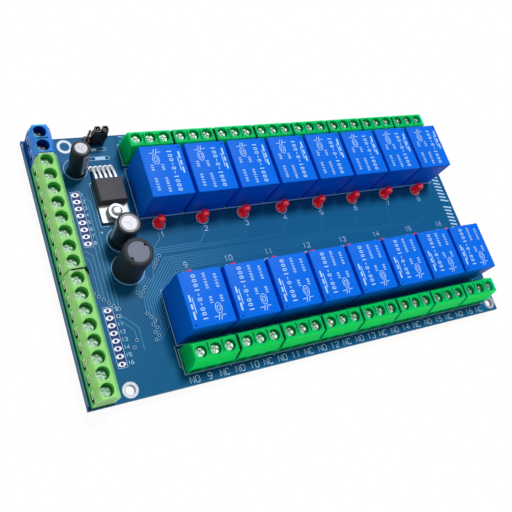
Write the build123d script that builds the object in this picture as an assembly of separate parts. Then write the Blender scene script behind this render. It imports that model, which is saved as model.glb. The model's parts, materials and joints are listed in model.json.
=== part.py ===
from build123d import *
from dataclasses import dataclass
import os

# A relay module board: sixteen sealed relays in two rows of eight on one
# circuit board, each with a status LED and a three-way screw terminal, and a
# left zone with the input terminals, the step-down supply and its jumper.
#
# Frame: X along the board, Y from the front edge to the back edge, Z up. The
# origin is under the middle of the board, at the tips of the clipped pins.
# Places on the board are given as distances from its front left corner, and
# heights as distances above its top face.

# Board
CHANNELS_PER_ROW = 8
CHANNEL_PITCH = 16.51
LEFT_ZONE = 32.385
RIGHT_MARGIN = 6.735
LONG_EDGE_MARGIN = 0.33
CENTRE_STRIP = 26.44
BOARD_THICKNESS = 1.6
PIN_TAIL = 2.6
HOLE_DIAMETER = 3.2
HOLE_INSET_LEFT = 13.97
HOLE_INSET = 2.92

# Relays
RELAY_WIDTH = 15.3
RELAY_DEPTH = 19.0
RELAY_HEIGHT = 15.3
RELAY_DRAFT = 0.1
RELAY_PIN = 0.8
RELAY_PIN_SPREAD = 6.0
RELAY_PIN_INSET = 2.4

# Output terminals, and their place in a channel
OUTPUT_WAYS = 3
OUTPUT_WAY_PITCH = 5.08
TERMINAL_INSET = 3.6
TERMINAL_TO_RELAY = 1.6

# Status LEDs
LED_OFFSET = 1.95
LED_TO_RELAY = 2.74
LED_RADIUS = 1.5
LED_FLANGE_RADIUS = 1.95
LED_FLANGE_HEIGHT = 0.9
LED_HEIGHT = 5.3
LED_DOME_TAPER = 32
LED_LEAD = 0.5
LED_LEAD_PITCH = 2.54

# Input and power terminals
INPUT_WAYS = 8
POWER_WAYS = 2
INPUT_WAY_PITCH = 5.0
INPUT_BLOCK_GAP = 0.64
POWER_BLOCK_GAP = 0.4
INPUT_TERMINAL_INSET = 0.2
TERMINAL_PIN = 1.0

# Empty header pads beside the input terminals
PADS_PER_COLUMN = 8
PAD_PITCH = 2.54
PAD_HOLE_RADIUS = 0.5
PAD_COLUMNS = ((13.1, 70.1), (13.55, 29.0))

# Electrolytic capacitors: input side and output side of the supply
CAPACITOR_LIFT = 0.4
SLEEVE_WALL = 0.2
SLEEVE_LIP = 0.9
SLEEVE_LIP_THICKNESS = 0.2

# Inductor
INDUCTOR_PLACE = (23.6, 41.8)
INDUCTOR_RADIUS = 5.0
INDUCTOR_HEIGHT = 14.3
INDUCTOR_LEAD_PITCH = 5.0
INDUCTOR_WALL = 0.4
INDUCTOR_LIP = 0.8
INDUCTOR_NOTCH = 1.2
INDUCTOR_NOTCH_DEPTH = 1.0
ROUND_LEAD = 0.6

# Regulator, lying flat with its tab towards the front edge
REGULATOR_X = 24.3
REGULATOR_TAB_END = 58.3
REGULATOR_WIDTH = 10.0
TAB_THICKNESS = 1.3
TAB_LENGTH = 6.3
TAB_HOLE_RADIUS = 1.85
TAB_HOLE_TO_END = 2.8
TAB_UNDER_BODY = 8.4
REGULATOR_BODY_LENGTH = 9.1
REGULATOR_BODY_HEIGHT = 4.5
REGULATOR_BODY_BEVEL = 0.7
LEG_COUNT = 5
LEG_PITCH = 1.7
LEG_WIDTH = 0.8
LEG_THICKNESS = 0.5
LEG_HEIGHT = 2.6
LEG_STRAIGHT = 1.6
LEG_REACH = 5.7
LEG_SHOULDER = 0.8

# Screw and nut that hold the regulator's tab
SCREW_RADIUS = 1.5
SCREW_HEAD_ACROSS_FLATS = 5.5
SCREW_HEAD_HEIGHT = 2.0
SCREW_PROUD = 1.0
THREAD_CLEARANCE = 0.05
NUT_ACROSS_FLATS = 5.5
NUT_HEIGHT = 2.4

# Supply selector: a three-pin header with one jumper on two of its pins
HEADER_PLACE = (23.95, 89.4)
HEADER_PINS = 3
HEADER_PITCH = 2.54
HEADER_HEIGHT = 2.54
HEADER_CORNER = 0.5
HEADER_PIN = 0.64
HEADER_PIN_TOP = 8.5
JUMPER_LENGTH = 5.0
JUMPER_WIDTH = 2.4
JUMPER_BODY_HEIGHT = 4.2
JUMPER_LIFT = 0.1
JUMPER_BORE = 1.1
CHIMNEY_HEIGHT = 2.0
CHIMNEY_LENGTH = 2.1
CHIMNEY_BORE = 1.3
CONTACT_GAP = 0.12
CONTACT_WIDTH = 1.2
CONTACT_HEIGHT = 2.4
CONTACT_FLOOR = 1.0

# Parts soldered to the underside
CHIP_PLACES = ((24.0, 33.4, 90.0), (21.5, 21.2, 0.0))
CHIP_LENGTH = 10.3
CHIP_WIDTH = 7.5
CHIP_HEIGHT = 2.2
CHIP_STANDOFF = 0.1
CHIP_LEADS_PER_SIDE = 8
CHIP_LEAD_PITCH = 1.27
CHIP_LEAD_WIDTH = 0.42
CHIP_LEAD_REACH = 1.4
CHIP_LEAD_FOOT = 0.6
CHIP_LEAD_RISE = 1.2
CHIP_LEAD_THICKNESS = 0.3
RESISTOR_LENGTH = 3.2
RESISTOR_WIDTH = 1.6
RESISTOR_HEIGHT = 0.55
RESISTOR_TO_LED = 4.0
DIODE_PLACE = (17.0, 61.0)
DIODE_LENGTH = 4.6
DIODE_WIDTH = 3.6
DIODE_HEIGHT = 2.2

# Sides of the round pieces that are drawn as regular prisms: the wells, screws,
# lenses and pad holes, which are repeated so often, and the sleeved cans and coil
WELL_SIDES = 8
SMALL_SIDES = 8
PAD_HOLE_SIDES = 6
CAN_SIDES = 20


@dataclass(frozen=True)
class TerminalShape:
    """Section and fittings of one kind of screw terminal. The wire side is at 0."""

    depth: float
    height: float
    front_slope_foot: float
    front_slope: float
    back_slope_foot: float
    back_slope: float
    end_wall: float
    way_wall: float
    entry_floor: float
    entry_top: float
    entry_depth: float
    clamp_inset: float
    clamp_clearance: float
    well_radius: float
    well_place: float
    screw_radius: float
    screw_top: float
    groove_start: float
    groove_end: float
    groove_width: float = 0.5
    groove_depth: float = 0.6


OUTPUT = TerminalShape(
    depth=8.3,
    height=10.6,
    front_slope_foot=4.9,
    front_slope=1.55,
    back_slope_foot=6.4,
    back_slope=1.5,
    end_wall=0.13,
    way_wall=1.3,
    entry_floor=0.7,
    entry_top=4.5,
    entry_depth=6.5,
    clamp_inset=1.2,
    clamp_clearance=0.1,
    well_radius=1.95,
    well_place=3.9,
    screw_radius=1.65,
    screw_top=9.5,
    groove_start=2.6,
    groove_end=6.3,
)
INPUT = TerminalShape(
    depth=8.1,
    height=10.6,
    front_slope_foot=7.2,
    front_slope=1.4,
    back_slope_foot=7.6,
    back_slope=1.7,
    end_wall=0.0,
    way_wall=1.2,
    entry_floor=0.9,
    entry_top=6.0,
    entry_depth=6.6,
    clamp_inset=1.1,
    clamp_clearance=0.1,
    well_radius=2.05,
    well_place=3.8,
    screw_radius=1.8,
    screw_top=8.2,
    groove_start=1.8,
    groove_end=6.0,
)

BOARD_LENGTH = LEFT_ZONE + CHANNELS_PER_ROW * CHANNEL_PITCH + RIGHT_MARGIN
ROW_DEPTH = TERMINAL_INSET + OUTPUT.depth + TERMINAL_TO_RELAY + RELAY_DEPTH
LAYOUT_WIDTH = 2 * ROW_DEPTH + CENTRE_STRIP
BOARD_WIDTH = LAYOUT_WIDTH + 2 * LONG_EDGE_MARGIN
UNDERSIDE = PIN_TAIL
TOP = UNDERSIDE + BOARD_THICKNESS


def spot(x, y, z=0.0):
    """The place x, y from the layout's front left corner, z above the board's top face."""
    return Pos(x - BOARD_LENGTH / 2, y - LAYOUT_WIDTH / 2, TOP + z)


def block(x_size, y_size, low, high):
    """A box centred on X and Y between two heights."""
    return Pos(0, 0, (low + high) / 2) * Box(x_size, y_size, high - low)


def prism(radius, low, high, sides, taper=0.0):
    """A regular prism about Z between two heights, narrowed upwards by the taper in degrees."""
    section = RegularPolygon(radius, sides)
    return Pos(0, 0, low) * extrude(section, amount=high - low, taper=taper)


def drum(radius, low, high):
    """A true cylinder about Z between two heights."""
    return Pos(0, 0, (low + high) / 2) * Cylinder(radius, high - low)


def extruded_section(points, length):
    """The closed outline of (y, z) points, carried along X and centred there."""
    return extrude(make_face(Plane.YZ * Polyline(*points, close=True)), amount=length / 2, both=True)


def tail(side):
    """The clipped end of a pin, from the board's underside down to its tip."""
    return Pos(0, 0, UNDERSIDE / 2 - TOP) * Box(side, side, UNDERSIDE)


# Channels
# A channel's own frame has X along the row, Y inwards from the layout's nearest
# long side and Z above the board. The back row is the front row turned half round.
def channel_frames():
    """The channel frames by number: 1 to 8 along the back, 9 to 16 along the front."""
    frames = {}
    for index in range(CHANNELS_PER_ROW):
        x = LEFT_ZONE + (index + 0.5) * CHANNEL_PITCH
        frames[index + 1] = spot(x, LAYOUT_WIDTH) * Rot(0, 0, 180)
        frames[index + 1 + CHANNELS_PER_ROW] = spot(x, 0)
    return dict(sorted(frames.items()))


RELAY_FRONT = TERMINAL_INSET + OUTPUT.depth + TERMINAL_TO_RELAY
RELAY_PLACE = Pos(0, RELAY_FRONT + RELAY_DEPTH / 2, 0)
LED_PLACE = Pos(LED_OFFSET, RELAY_FRONT + RELAY_DEPTH + LED_TO_RELAY, 0)


def relay():
    """A sealed relay: its case, drafted from the foot to the crown."""
    foot = Rectangle(RELAY_WIDTH, RELAY_DEPTH)
    crown = Pos(0, 0, RELAY_HEIGHT) * Rectangle(RELAY_WIDTH - 2 * RELAY_DRAFT, RELAY_DEPTH - 2 * RELAY_DRAFT)
    return loft([foot, crown])


def relay_pin_places():
    """Two coil pins and the common at the inner end, two contact pins at the outer end."""
    inner = RELAY_DEPTH / 2 - RELAY_PIN_INSET
    spread = RELAY_PIN_SPREAD
    return [(-spread, inner), (0.0, inner), (spread, inner), (-spread, -inner), (spread, -inner)]


def led_lens():
    """A lens with its flange on the board and a tip that narrows as its dome does."""
    shoulder = LED_HEIGHT - LED_RADIUS
    lens = prism(LED_FLANGE_RADIUS, 0, LED_FLANGE_HEIGHT, SMALL_SIDES)
    lens += prism(LED_RADIUS, LED_FLANGE_HEIGHT, shoulder, SMALL_SIDES)
    return lens + prism(LED_RADIUS, shoulder, LED_HEIGHT, SMALL_SIDES, taper=LED_DOME_TAPER)


# Screw terminals
# A terminal's own frame has X along its ways, Y inwards from its wire side.
def terminal_length(ways, pitch, shape):
    return ways * pitch + 2 * shape.end_wall


def way_places(ways, pitch):
    return [(index - (ways - 1) / 2) * pitch for index in range(ways)]


def terminal_housing(ways, pitch, shape, grooves):
    """The moulded housing: sloped faces, a wire entry and a screw well in each way."""
    length = terminal_length(ways, pitch, shape)
    outline = [
        (0, 0),
        (0, shape.front_slope_foot),
        (shape.front_slope, shape.height),
        (shape.depth - shape.back_slope, shape.height),
        (shape.depth, shape.back_slope_foot),
        (shape.depth, 0),
    ]
    housing = extruded_section(outline, length)
    entry_width = pitch - shape.way_wall
    entry = Pos(0, shape.entry_depth / 2, 0) * block(
        entry_width, shape.entry_depth, shape.entry_floor, shape.entry_top
    )
    well = Pos(0, shape.well_place, 0) * prism(
        shape.well_radius, shape.entry_top, shape.height, WELL_SIDES
    )
    cuts = [Pos(x, 0, 0) * tool for x in way_places(ways, pitch) for tool in (entry, well)]
    if grooves:
        groove_length = shape.groove_end - shape.groove_start
        groove = Pos(0, (shape.groove_start + shape.groove_end) / 2, 0) * block(
            shape.groove_width, groove_length, shape.height - shape.groove_depth, shape.height
        )
        cuts += [Pos(x + pitch / 2, 0, 0) * groove for x in way_places(ways, pitch)[:-1]]
    return housing - cuts


def wire_clamp(pitch, shape):
    """The metal block at the end of a wire entry, on its floor."""
    depth = shape.entry_depth - shape.clamp_inset - shape.clamp_clearance
    width = pitch - shape.way_wall - 2 * shape.clamp_clearance
    middle = shape.clamp_inset + depth / 2
    return Pos(0, middle, 0) * block(width, depth, shape.entry_floor, shape.entry_top - shape.clamp_clearance)


def clamp_screw(shape):
    """The screw that bears on the clamp, down in its well."""
    low = shape.entry_top - shape.clamp_clearance
    return Pos(0, shape.well_place, 0) * prism(shape.screw_radius, low, shape.screw_top, SMALL_SIDES)


def terminal_pin(shape):
    """The tail of a terminal's pin, under the screw."""
    return Pos(0, shape.well_place, 0) * tail(TERMINAL_PIN)


def in_every_way(piece, ways, pitch):
    return [Pos(x, 0, 0) * piece for x in way_places(ways, pitch)]


def output_terminal_frame(frame):
    return frame * Pos(0, TERMINAL_INSET, 0)


def input_terminal_frames():
    """The three blocks down the left edge, back to front, as a column centred on the board."""
    blocks = [
        ("power_terminal", POWER_WAYS, POWER_BLOCK_GAP),
        ("input_terminal_upper", INPUT_WAYS, INPUT_BLOCK_GAP),
        ("input_terminal_lower", INPUT_WAYS, 0.0),
    ]
    column = sum(terminal_length(ways, INPUT_WAY_PITCH, INPUT) + gap for _, ways, gap in blocks)
    back = (LAYOUT_WIDTH + column) / 2
    frames = {}
    for name, ways, gap in blocks:
        length = terminal_length(ways, INPUT_WAY_PITCH, INPUT)
        frames[name] = (spot(INPUT_TERMINAL_INSET, back - length / 2) * Rot(0, 0, -90), ways)
        back -= length + gap
    return frames


# Supply parts
def lead_hole(side):
    """The cutter for a square plated hole that a lead fills."""
    return Pos(0, 0, -BOARD_THICKNESS / 2) * Box(side, side, BOARD_THICKNESS)


def through_lead(side, top):
    """A straight lead from a height above the board down to its clipped tip."""
    return block(side, side, -TOP, top)


def lead_pair(pitch):
    return [Pos(x, 0, 0) for x in (-pitch / 2, pitch / 2)]


def lipped_sleeve(radius, wall, low, high, lip, lip_thickness):
    """A shrunk sleeve: a tube whose upper end folds in over what it holds."""
    sleeve = prism(radius, low, high, CAN_SIDES)
    bore = prism(radius - wall, low, high - lip_thickness, CAN_SIDES)
    mouth = prism(radius - wall - lip, high - lip_thickness, high, CAN_SIDES)
    return sleeve - [bore, mouth]


@dataclass(frozen=True)
class Capacitor:
    """One electrolytic capacitor: its place and its sizes."""

    x: float
    y: float
    radius: float
    height: float
    lead_pitch: float

    def can(self):
        """The aluminium can, standing just clear of the board."""
        top = self.height - SLEEVE_LIP_THICKNESS
        return spot(self.x, self.y) * prism(self.radius - SLEEVE_WALL, CAPACITOR_LIFT, top, CAN_SIDES)

    def sleeve(self):
        """The shrunk sleeve, folded in over the can's rim."""
        sleeve = lipped_sleeve(
            self.radius, SLEEVE_WALL, CAPACITOR_LIFT, self.height, SLEEVE_LIP, SLEEVE_LIP_THICKNESS
        )
        return spot(self.x, self.y) * sleeve

    def lead_places(self):
        """The places of its two leads at board level."""
        return [spot(self.x, self.y) * place for place in lead_pair(self.lead_pitch)]


CAPACITORS = (
    Capacitor(x=14.85, y=79.95, radius=3.15, height=13.6, lead_pitch=2.5),
    Capacitor(x=23.75, y=52.15, radius=4.0, height=13.2, lead_pitch=3.5),
)


def inductor_core():
    """The drum core with a notch each side of its top."""
    radius = INDUCTOR_RADIUS - INDUCTOR_WALL
    top = INDUCTOR_HEIGHT - INDUCTOR_WALL
    core = prism(radius, 0, top, CAN_SIDES)
    notch = block(INDUCTOR_NOTCH, INDUCTOR_NOTCH, top - INDUCTOR_NOTCH_DEPTH, top)
    reach = radius - INDUCTOR_LIP - INDUCTOR_NOTCH / 2
    return core - [Rot(0, 0, turn) * Pos(0, reach, 0) * notch for turn in (-45, 135)]


def inductor_sleeve():
    return lipped_sleeve(INDUCTOR_RADIUS, INDUCTOR_WALL, 0, INDUCTOR_HEIGHT, INDUCTOR_LIP, INDUCTOR_WALL)


BODY_FRONT = REGULATOR_TAB_END + TAB_LENGTH
BODY_BACK = BODY_FRONT + REGULATOR_BODY_LENGTH
TAB_HOLE_Y = REGULATOR_TAB_END + TAB_HOLE_TO_END


def regulator_tab():
    """The metal tab, which runs on under the body."""
    length = TAB_LENGTH + TAB_UNDER_BODY
    plate = Pos(0, REGULATOR_TAB_END + length / 2, 0) * block(REGULATOR_WIDTH, length, 0, TAB_THICKNESS)
    return plate - Pos(0, TAB_HOLE_Y, 0) * drum(TAB_HOLE_RADIUS, 0, TAB_THICKNESS)


def regulator_body():
    """The moulded body over the tab, bevelled along its front and sides."""
    middle = BODY_FRONT + REGULATOR_BODY_LENGTH / 2
    body = Pos(0, middle, 0) * block(
        REGULATOR_WIDTH, REGULATOR_BODY_LENGTH, 0, REGULATOR_BODY_HEIGHT
    )
    under = TAB_UNDER_BODY
    body -= Pos(0, BODY_FRONT + under / 2, 0) * block(REGULATOR_WIDTH, under, 0, TAB_THICKNESS)
    top_edges = body.edges().group_by(Axis.Z)[-1]
    return chamfer(top_edges.sort_by(Axis.Y)[:-1], REGULATOR_BODY_BEVEL)


def regulator_leg():
    """A flat leg: straight out of the body, sloped to its hole, then down through the board."""
    end = BODY_BACK + LEG_REACH
    path = Polyline(
        (0, BODY_BACK, LEG_HEIGHT),
        (0, BODY_BACK + LEG_STRAIGHT, LEG_HEIGHT),
        (0, end, LEG_SHOULDER),
        (0, end, -TOP),
    )
    start = Plane(origin=path @ 0, x_dir=(1, 0, 0), z_dir=path % 0)
    section = start * Rectangle(LEG_WIDTH, LEG_THICKNESS)
    return sweep(section, path, transition=Transition.RIGHT)


def leg_places():
    return [(index - (LEG_COUNT - 1) / 2) * LEG_PITCH for index in range(LEG_COUNT)]


def hexagon(across_flats, low, high):
    """A hexagonal prism about Z between two heights."""
    section = RegularPolygon(across_flats / 2, 6, major_radius=False)
    return Pos(0, 0, low) * extrude(section, amount=high - low)


def regulator_screw():
    """The screw up through the board and the tab, with its head underneath."""
    top = TAB_THICKNESS + NUT_HEIGHT + SCREW_PROUD
    shank = drum(SCREW_RADIUS, -BOARD_THICKNESS, top)
    head = hexagon(SCREW_HEAD_ACROSS_FLATS, -BOARD_THICKNESS - SCREW_HEAD_HEIGHT, -BOARD_THICKNESS)
    return shank + head


def regulator_nut():
    nut = hexagon(NUT_ACROSS_FLATS, TAB_THICKNESS, TAB_THICKNESS + NUT_HEIGHT)
    return nut - drum(SCREW_RADIUS + THREAD_CLEARANCE, TAB_THICKNESS, TAB_THICKNESS + NUT_HEIGHT)


# Supply selector
def header_places():
    return [(index - (HEADER_PINS - 1) / 2) * HEADER_PITCH for index in range(HEADER_PINS)]


def header_base():
    """The moulded strip: one segment with cut corners to each pin."""
    segment = chamfer(Rectangle(HEADER_PITCH, HEADER_PITCH).vertices(), HEADER_CORNER)
    strip = [Pos(x, 0, 0) * extrude(segment, amount=HEADER_HEIGHT) for x in header_places()]
    holes = [Pos(x, 0, 0) * block(HEADER_PIN, HEADER_PIN, 0, HEADER_HEIGHT) for x in header_places()]
    return strip[0].fuse(*strip[1:]) - holes


JUMPER_PLACE = Pos(header_places()[-1] - HEADER_PITCH / 2, 0, HEADER_HEIGHT + JUMPER_LIFT)


def jumper_cap():
    """The cap over two pins: a plain body below two open chimneys."""
    bores = [Pos(x, 0, 0) for x in (-HEADER_PITCH / 2, HEADER_PITCH / 2)]
    top = JUMPER_BODY_HEIGHT + CHIMNEY_HEIGHT
    cap = block(JUMPER_LENGTH, JUMPER_WIDTH, 0, JUMPER_BODY_HEIGHT)
    cap += [place * block(CHIMNEY_LENGTH, JUMPER_WIDTH, JUMPER_BODY_HEIGHT, top) for place in bores]
    cap -= [place * block(JUMPER_BORE, JUMPER_BORE, 0, JUMPER_BODY_HEIGHT) for place in bores]
    cap -= [place * block(CHIMNEY_BORE, CHIMNEY_BORE, JUMPER_BODY_HEIGHT, top) for place in bores]
    return cap - contact_block()


def contact_block():
    """The space of the contact that joins the two pins."""
    length = HEADER_PITCH - HEADER_PIN - 2 * CONTACT_GAP
    return block(length, CONTACT_WIDTH, CONTACT_FLOOR, CONTACT_FLOOR + CONTACT_HEIGHT)


# Underside
def underside(x, y, turn=0.0):
    """A place on the underside, with Z pointing down from it."""
    return spot(x, y, -BOARD_THICKNESS) * Rot(180, 0, 0) * Rot(0, 0, turn)


def chip_body():
    return block(CHIP_WIDTH, CHIP_LENGTH, CHIP_STANDOFF, CHIP_STANDOFF + CHIP_HEIGHT)


def chip_leads():
    """The two rows of sloped leads."""
    side = CHIP_WIDTH / 2
    outline = [
        (side, CHIP_LEAD_RISE - CHIP_LEAD_THICKNESS),
        (side, CHIP_LEAD_RISE),
        (side + CHIP_LEAD_REACH, 0),
        (side + CHIP_LEAD_REACH - CHIP_LEAD_FOOT, 0),
    ]
    lead = Rot(0, 0, -90) * extruded_section(outline, CHIP_LEAD_WIDTH)
    places = [(index - (CHIP_LEADS_PER_SIDE - 1) / 2) * CHIP_LEAD_PITCH for index in range(CHIP_LEADS_PER_SIDE)]
    return [Rot(0, 0, turn) * Pos(0, y, 0) * lead for turn in (0, 180) for y in places]


def led_resistor():
    return block(RESISTOR_LENGTH, RESISTOR_WIDTH, 0, RESISTOR_HEIGHT)


def power_diode():
    return block(DIODE_WIDTH, DIODE_LENGTH, 0, DIODE_HEIGHT)


# Circuit board
def supply_lead_places():
    """Every lead of the supply that fills a hole of its own size, as (place, side)."""
    holes = []
    for capacitor in CAPACITORS:
        holes += [(place, ROUND_LEAD) for place in capacitor.lead_places()]
    holes += [(spot(*INDUCTOR_PLACE) * place, ROUND_LEAD) for place in lead_pair(INDUCTOR_LEAD_PITCH)]
    holes += [(spot(*HEADER_PLACE) * Pos(x, 0, 0), HEADER_PIN) for x in header_places()]
    return holes


def circuit_board():
    """The bare board with its mounting holes, empty pads and lead holes."""
    board = spot(BOARD_LENGTH / 2, LAYOUT_WIDTH / 2) * block(BOARD_LENGTH, BOARD_WIDTH, -BOARD_THICKNESS, 0)
    mounting = drum(HOLE_DIAMETER / 2, -BOARD_THICKNESS, 0)
    cuts = [spot(x, y) * mounting for x, y in mounting_hole_places()]
    cuts.append(spot(REGULATOR_X, TAB_HOLE_Y) * mounting)
    pad_hole = prism(PAD_HOLE_RADIUS, -BOARD_THICKNESS, 0, PAD_HOLE_SIDES)
    cuts += [spot(x, first - PAD_PITCH * index) * pad_hole
             for x, first in PAD_COLUMNS for index in range(PADS_PER_COLUMN)]
    cuts += [place * lead_hole(side) for place, side in supply_lead_places()]
    leg_hole = Pos(0, 0, -BOARD_THICKNESS / 2) * Box(LEG_WIDTH, LEG_THICKNESS, BOARD_THICKNESS)
    cuts += [spot(REGULATOR_X + x, BODY_BACK + LEG_REACH) * leg_hole for x in leg_places()]
    return board - cuts


def mounting_hole_places():
    return [
        (x, y)
        for x in (HOLE_INSET_LEFT, BOARD_LENGTH - HOLE_INSET)
        for y in (HOLE_INSET, LAYOUT_WIDTH - HOLE_INSET)
    ]


# Nodes
def build_nodes():
    """Every piece by its node name. A group of like pieces is a list."""
    nodes = {"circuit_board": [circuit_board()]}
    frames = channel_frames()
    relay_pins, led_lenses, leads, resistors = [], [], [], []
    output_clamps, output_screws, pins = [], [], []
    housing = terminal_housing(OUTPUT_WAYS, OUTPUT_WAY_PITCH, OUTPUT, grooves=True)
    case, lens = relay(), led_lens()
    for number, frame in frames.items():
        nodes[f"relay_{number}"] = [frame * RELAY_PLACE * case]
        relay_pins += [frame * RELAY_PLACE * Pos(x, y, 0) * tail(RELAY_PIN) for x, y in relay_pin_places()]
        place = output_terminal_frame(frame)
        nodes[f"output_terminal_{number}"] = [place * housing]
        ways = (OUTPUT_WAYS, OUTPUT_WAY_PITCH)
        output_clamps += [place * piece for piece in in_every_way(wire_clamp(OUTPUT_WAY_PITCH, OUTPUT), *ways)]
        output_screws += [place * piece for piece in in_every_way(clamp_screw(OUTPUT), *ways)]
        pins += [place * piece for piece in in_every_way(terminal_pin(OUTPUT), *ways)]
        led_lenses.append(frame * LED_PLACE * lens)
        leads += [frame * LED_PLACE * lead * tail(LED_LEAD) for lead in lead_pair(LED_LEAD_PITCH)]
        below = frame * LED_PLACE * Pos(0, RESISTOR_TO_LED, -BOARD_THICKNESS) * Rot(180, 0, 0)
        resistors.append(below * led_resistor())
    input_clamps, input_screws = [], []
    for name, (place, count) in input_terminal_frames().items():
        grooves = name == "power_terminal"
        nodes[name] = [place * terminal_housing(count, INPUT_WAY_PITCH, INPUT, grooves)]
        ways = (count, INPUT_WAY_PITCH)
        input_clamps += [place * piece for piece in in_every_way(wire_clamp(INPUT_WAY_PITCH, INPUT), *ways)]
        input_screws += [place * piece for piece in in_every_way(clamp_screw(INPUT), *ways)]
        pins += [place * piece for piece in in_every_way(terminal_pin(INPUT), *ways)]
    for capacitor in CAPACITORS:
        leads += [place * through_lead(ROUND_LEAD, CAPACITOR_LIFT) for place in capacitor.lead_places()]
    leads += [spot(*INDUCTOR_PLACE) * place * through_lead(ROUND_LEAD, 0)
              for place in lead_pair(INDUCTOR_LEAD_PITCH)]
    regulator = spot(REGULATOR_X, 0)
    fixing = spot(REGULATOR_X, TAB_HOLE_Y)
    header = spot(*HEADER_PLACE)
    chips = [underside(x, y, turn) for x, y, turn in CHIP_PLACES]
    nodes.update({
        "relay_pins": relay_pins,
        "wire_clamps": output_clamps + input_clamps,
        "output_screws": output_screws,
        "input_screws": input_screws,
        "terminal_pins": pins,
        "status_leds": led_lenses,
        "component_leads": leads,
        "capacitor_cans": [capacitor.can() for capacitor in CAPACITORS],
        "capacitor_sleeves": [capacitor.sleeve() for capacitor in CAPACITORS],
        "inductor_core": [spot(*INDUCTOR_PLACE) * inductor_core()],
        "inductor_sleeve": [spot(*INDUCTOR_PLACE) * inductor_sleeve()],
        "regulator_tab": [regulator * regulator_tab()],
        "regulator_body": [regulator * regulator_body()],
        "regulator_legs": [regulator * Pos(x, 0, 0) * regulator_leg() for x in leg_places()],
        "regulator_screw": [fixing * regulator_screw()],
        "regulator_nut": [fixing * regulator_nut()],
        "header_base": [header * header_base()],
        "header_pins": [header * Pos(x, 0, 0) * through_lead(HEADER_PIN, HEADER_PIN_TOP)
                        for x in header_places()],
        "jumper_cap": [header * JUMPER_PLACE * jumper_cap()],
        "jumper_contact": [header * JUMPER_PLACE * contact_block()],
        "driver_chips": [place * chip_body() for place in chips],
        "driver_chip_leads": [place * lead for place in chips for lead in chip_leads()],
        "led_resistors": resistors,
        "power_diode": [underside(*DIODE_PLACE) * power_diode()],
    })
    return nodes


def write_nodes():
    """Writes one STEP file to each node."""
    os.makedirs("parts", exist_ok=True)
    for name, pieces in build_nodes().items():
        solids = [solid for piece in pieces for solid in piece.solids()]
        shape = solids[0] if len(solids) == 1 else Compound(children=solids)
        export_step(shape, f"parts/{name}.step")


write_nodes()
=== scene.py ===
"""Looks of the relay module board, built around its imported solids.

Places on the board are in millimetres from its front left corner, and heights are above its
top face. They become metres in the row's frame when a shell is made into an object.
"""

import json
import logging
from collections.abc import Iterable, Sequence
from dataclasses import dataclass, replace
from enum import Enum
from math import pi, radians

import bmesh
import bpy
import numpy as np
from bpy.types import ID, Material, Mesh, NodeSocket, NodeTree, Object
from mathutils import Matrix, Vector

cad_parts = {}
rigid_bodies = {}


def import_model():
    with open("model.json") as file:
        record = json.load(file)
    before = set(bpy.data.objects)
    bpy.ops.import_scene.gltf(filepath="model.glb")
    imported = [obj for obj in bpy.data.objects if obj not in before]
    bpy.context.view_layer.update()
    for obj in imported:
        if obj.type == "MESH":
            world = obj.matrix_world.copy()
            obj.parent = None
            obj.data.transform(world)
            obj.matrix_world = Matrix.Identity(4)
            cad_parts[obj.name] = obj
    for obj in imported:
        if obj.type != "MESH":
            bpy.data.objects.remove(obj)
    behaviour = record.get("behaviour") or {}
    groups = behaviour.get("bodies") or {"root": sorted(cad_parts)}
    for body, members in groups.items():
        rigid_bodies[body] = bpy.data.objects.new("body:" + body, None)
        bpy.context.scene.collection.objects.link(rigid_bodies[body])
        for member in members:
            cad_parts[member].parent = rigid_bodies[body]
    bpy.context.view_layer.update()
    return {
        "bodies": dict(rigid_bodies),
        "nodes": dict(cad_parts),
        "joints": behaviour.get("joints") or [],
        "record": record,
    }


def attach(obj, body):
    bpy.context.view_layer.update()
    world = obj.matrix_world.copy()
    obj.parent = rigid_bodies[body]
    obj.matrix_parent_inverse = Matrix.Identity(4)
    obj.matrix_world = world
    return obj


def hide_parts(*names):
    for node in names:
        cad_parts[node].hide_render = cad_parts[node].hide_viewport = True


Array = np.ndarray
Point = tuple[float, float]
Triple = tuple[float, float, float]

LOG = logging.getLogger("relay_board")
MM = 0.001
BOARD_LENGTH = 171.2
LAYOUT_WIDTH = 91.44
THICKNESS = 1.6
PIN_TAIL = 2.6
TOP = PIN_TAIL + THICKNESS
BOARD = "board"
JUMPER = "jumper"
CHANNELS_PER_ROW = 8
CHANNEL_PITCH = 16.51
FIRST_CHANNEL = 40.64
OUTPUT_PITCH = 5.08
INPUT_PITCH = 5.0
# The middle and the ways of each block down the left edge
INPUT_BLOCKS = {
    "power_terminal": (86.24, 2),
    "input_terminal_upper": (60.84, 8),
    "input_terminal_lower": (20.2, 8),
}
LIGHT_ACROSS = 1.95
LIGHT_INWARD = 35.24
REGULATOR_X = 24.3
LEG_COUNT = 5
LEG_PITCH = 1.7
LEG_ROW = 79.1
HEADER_PLACE = (23.95, 89.4)
HEADER_PITCH = 2.54
HOLE_X = (13.97, 168.28)
HOLE_Y = (2.92, 88.52)
WELD = 2e-6
RANDOM_SEED = 16
FADE_SPAN = (37.0, 66.0)
BROAD_NOISE = 90.0
COAT_ROUGHNESS = 0.12
SCATTER_REACH = 6.0


class Kind(Enum):
    """Whether a finish belongs to a plastic, a metal, a painted film or a ceramic."""

    PLASTIC = "plastic"
    METAL = "metal"
    FILM = "film"
    CERAMIC = "ceramic"


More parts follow.
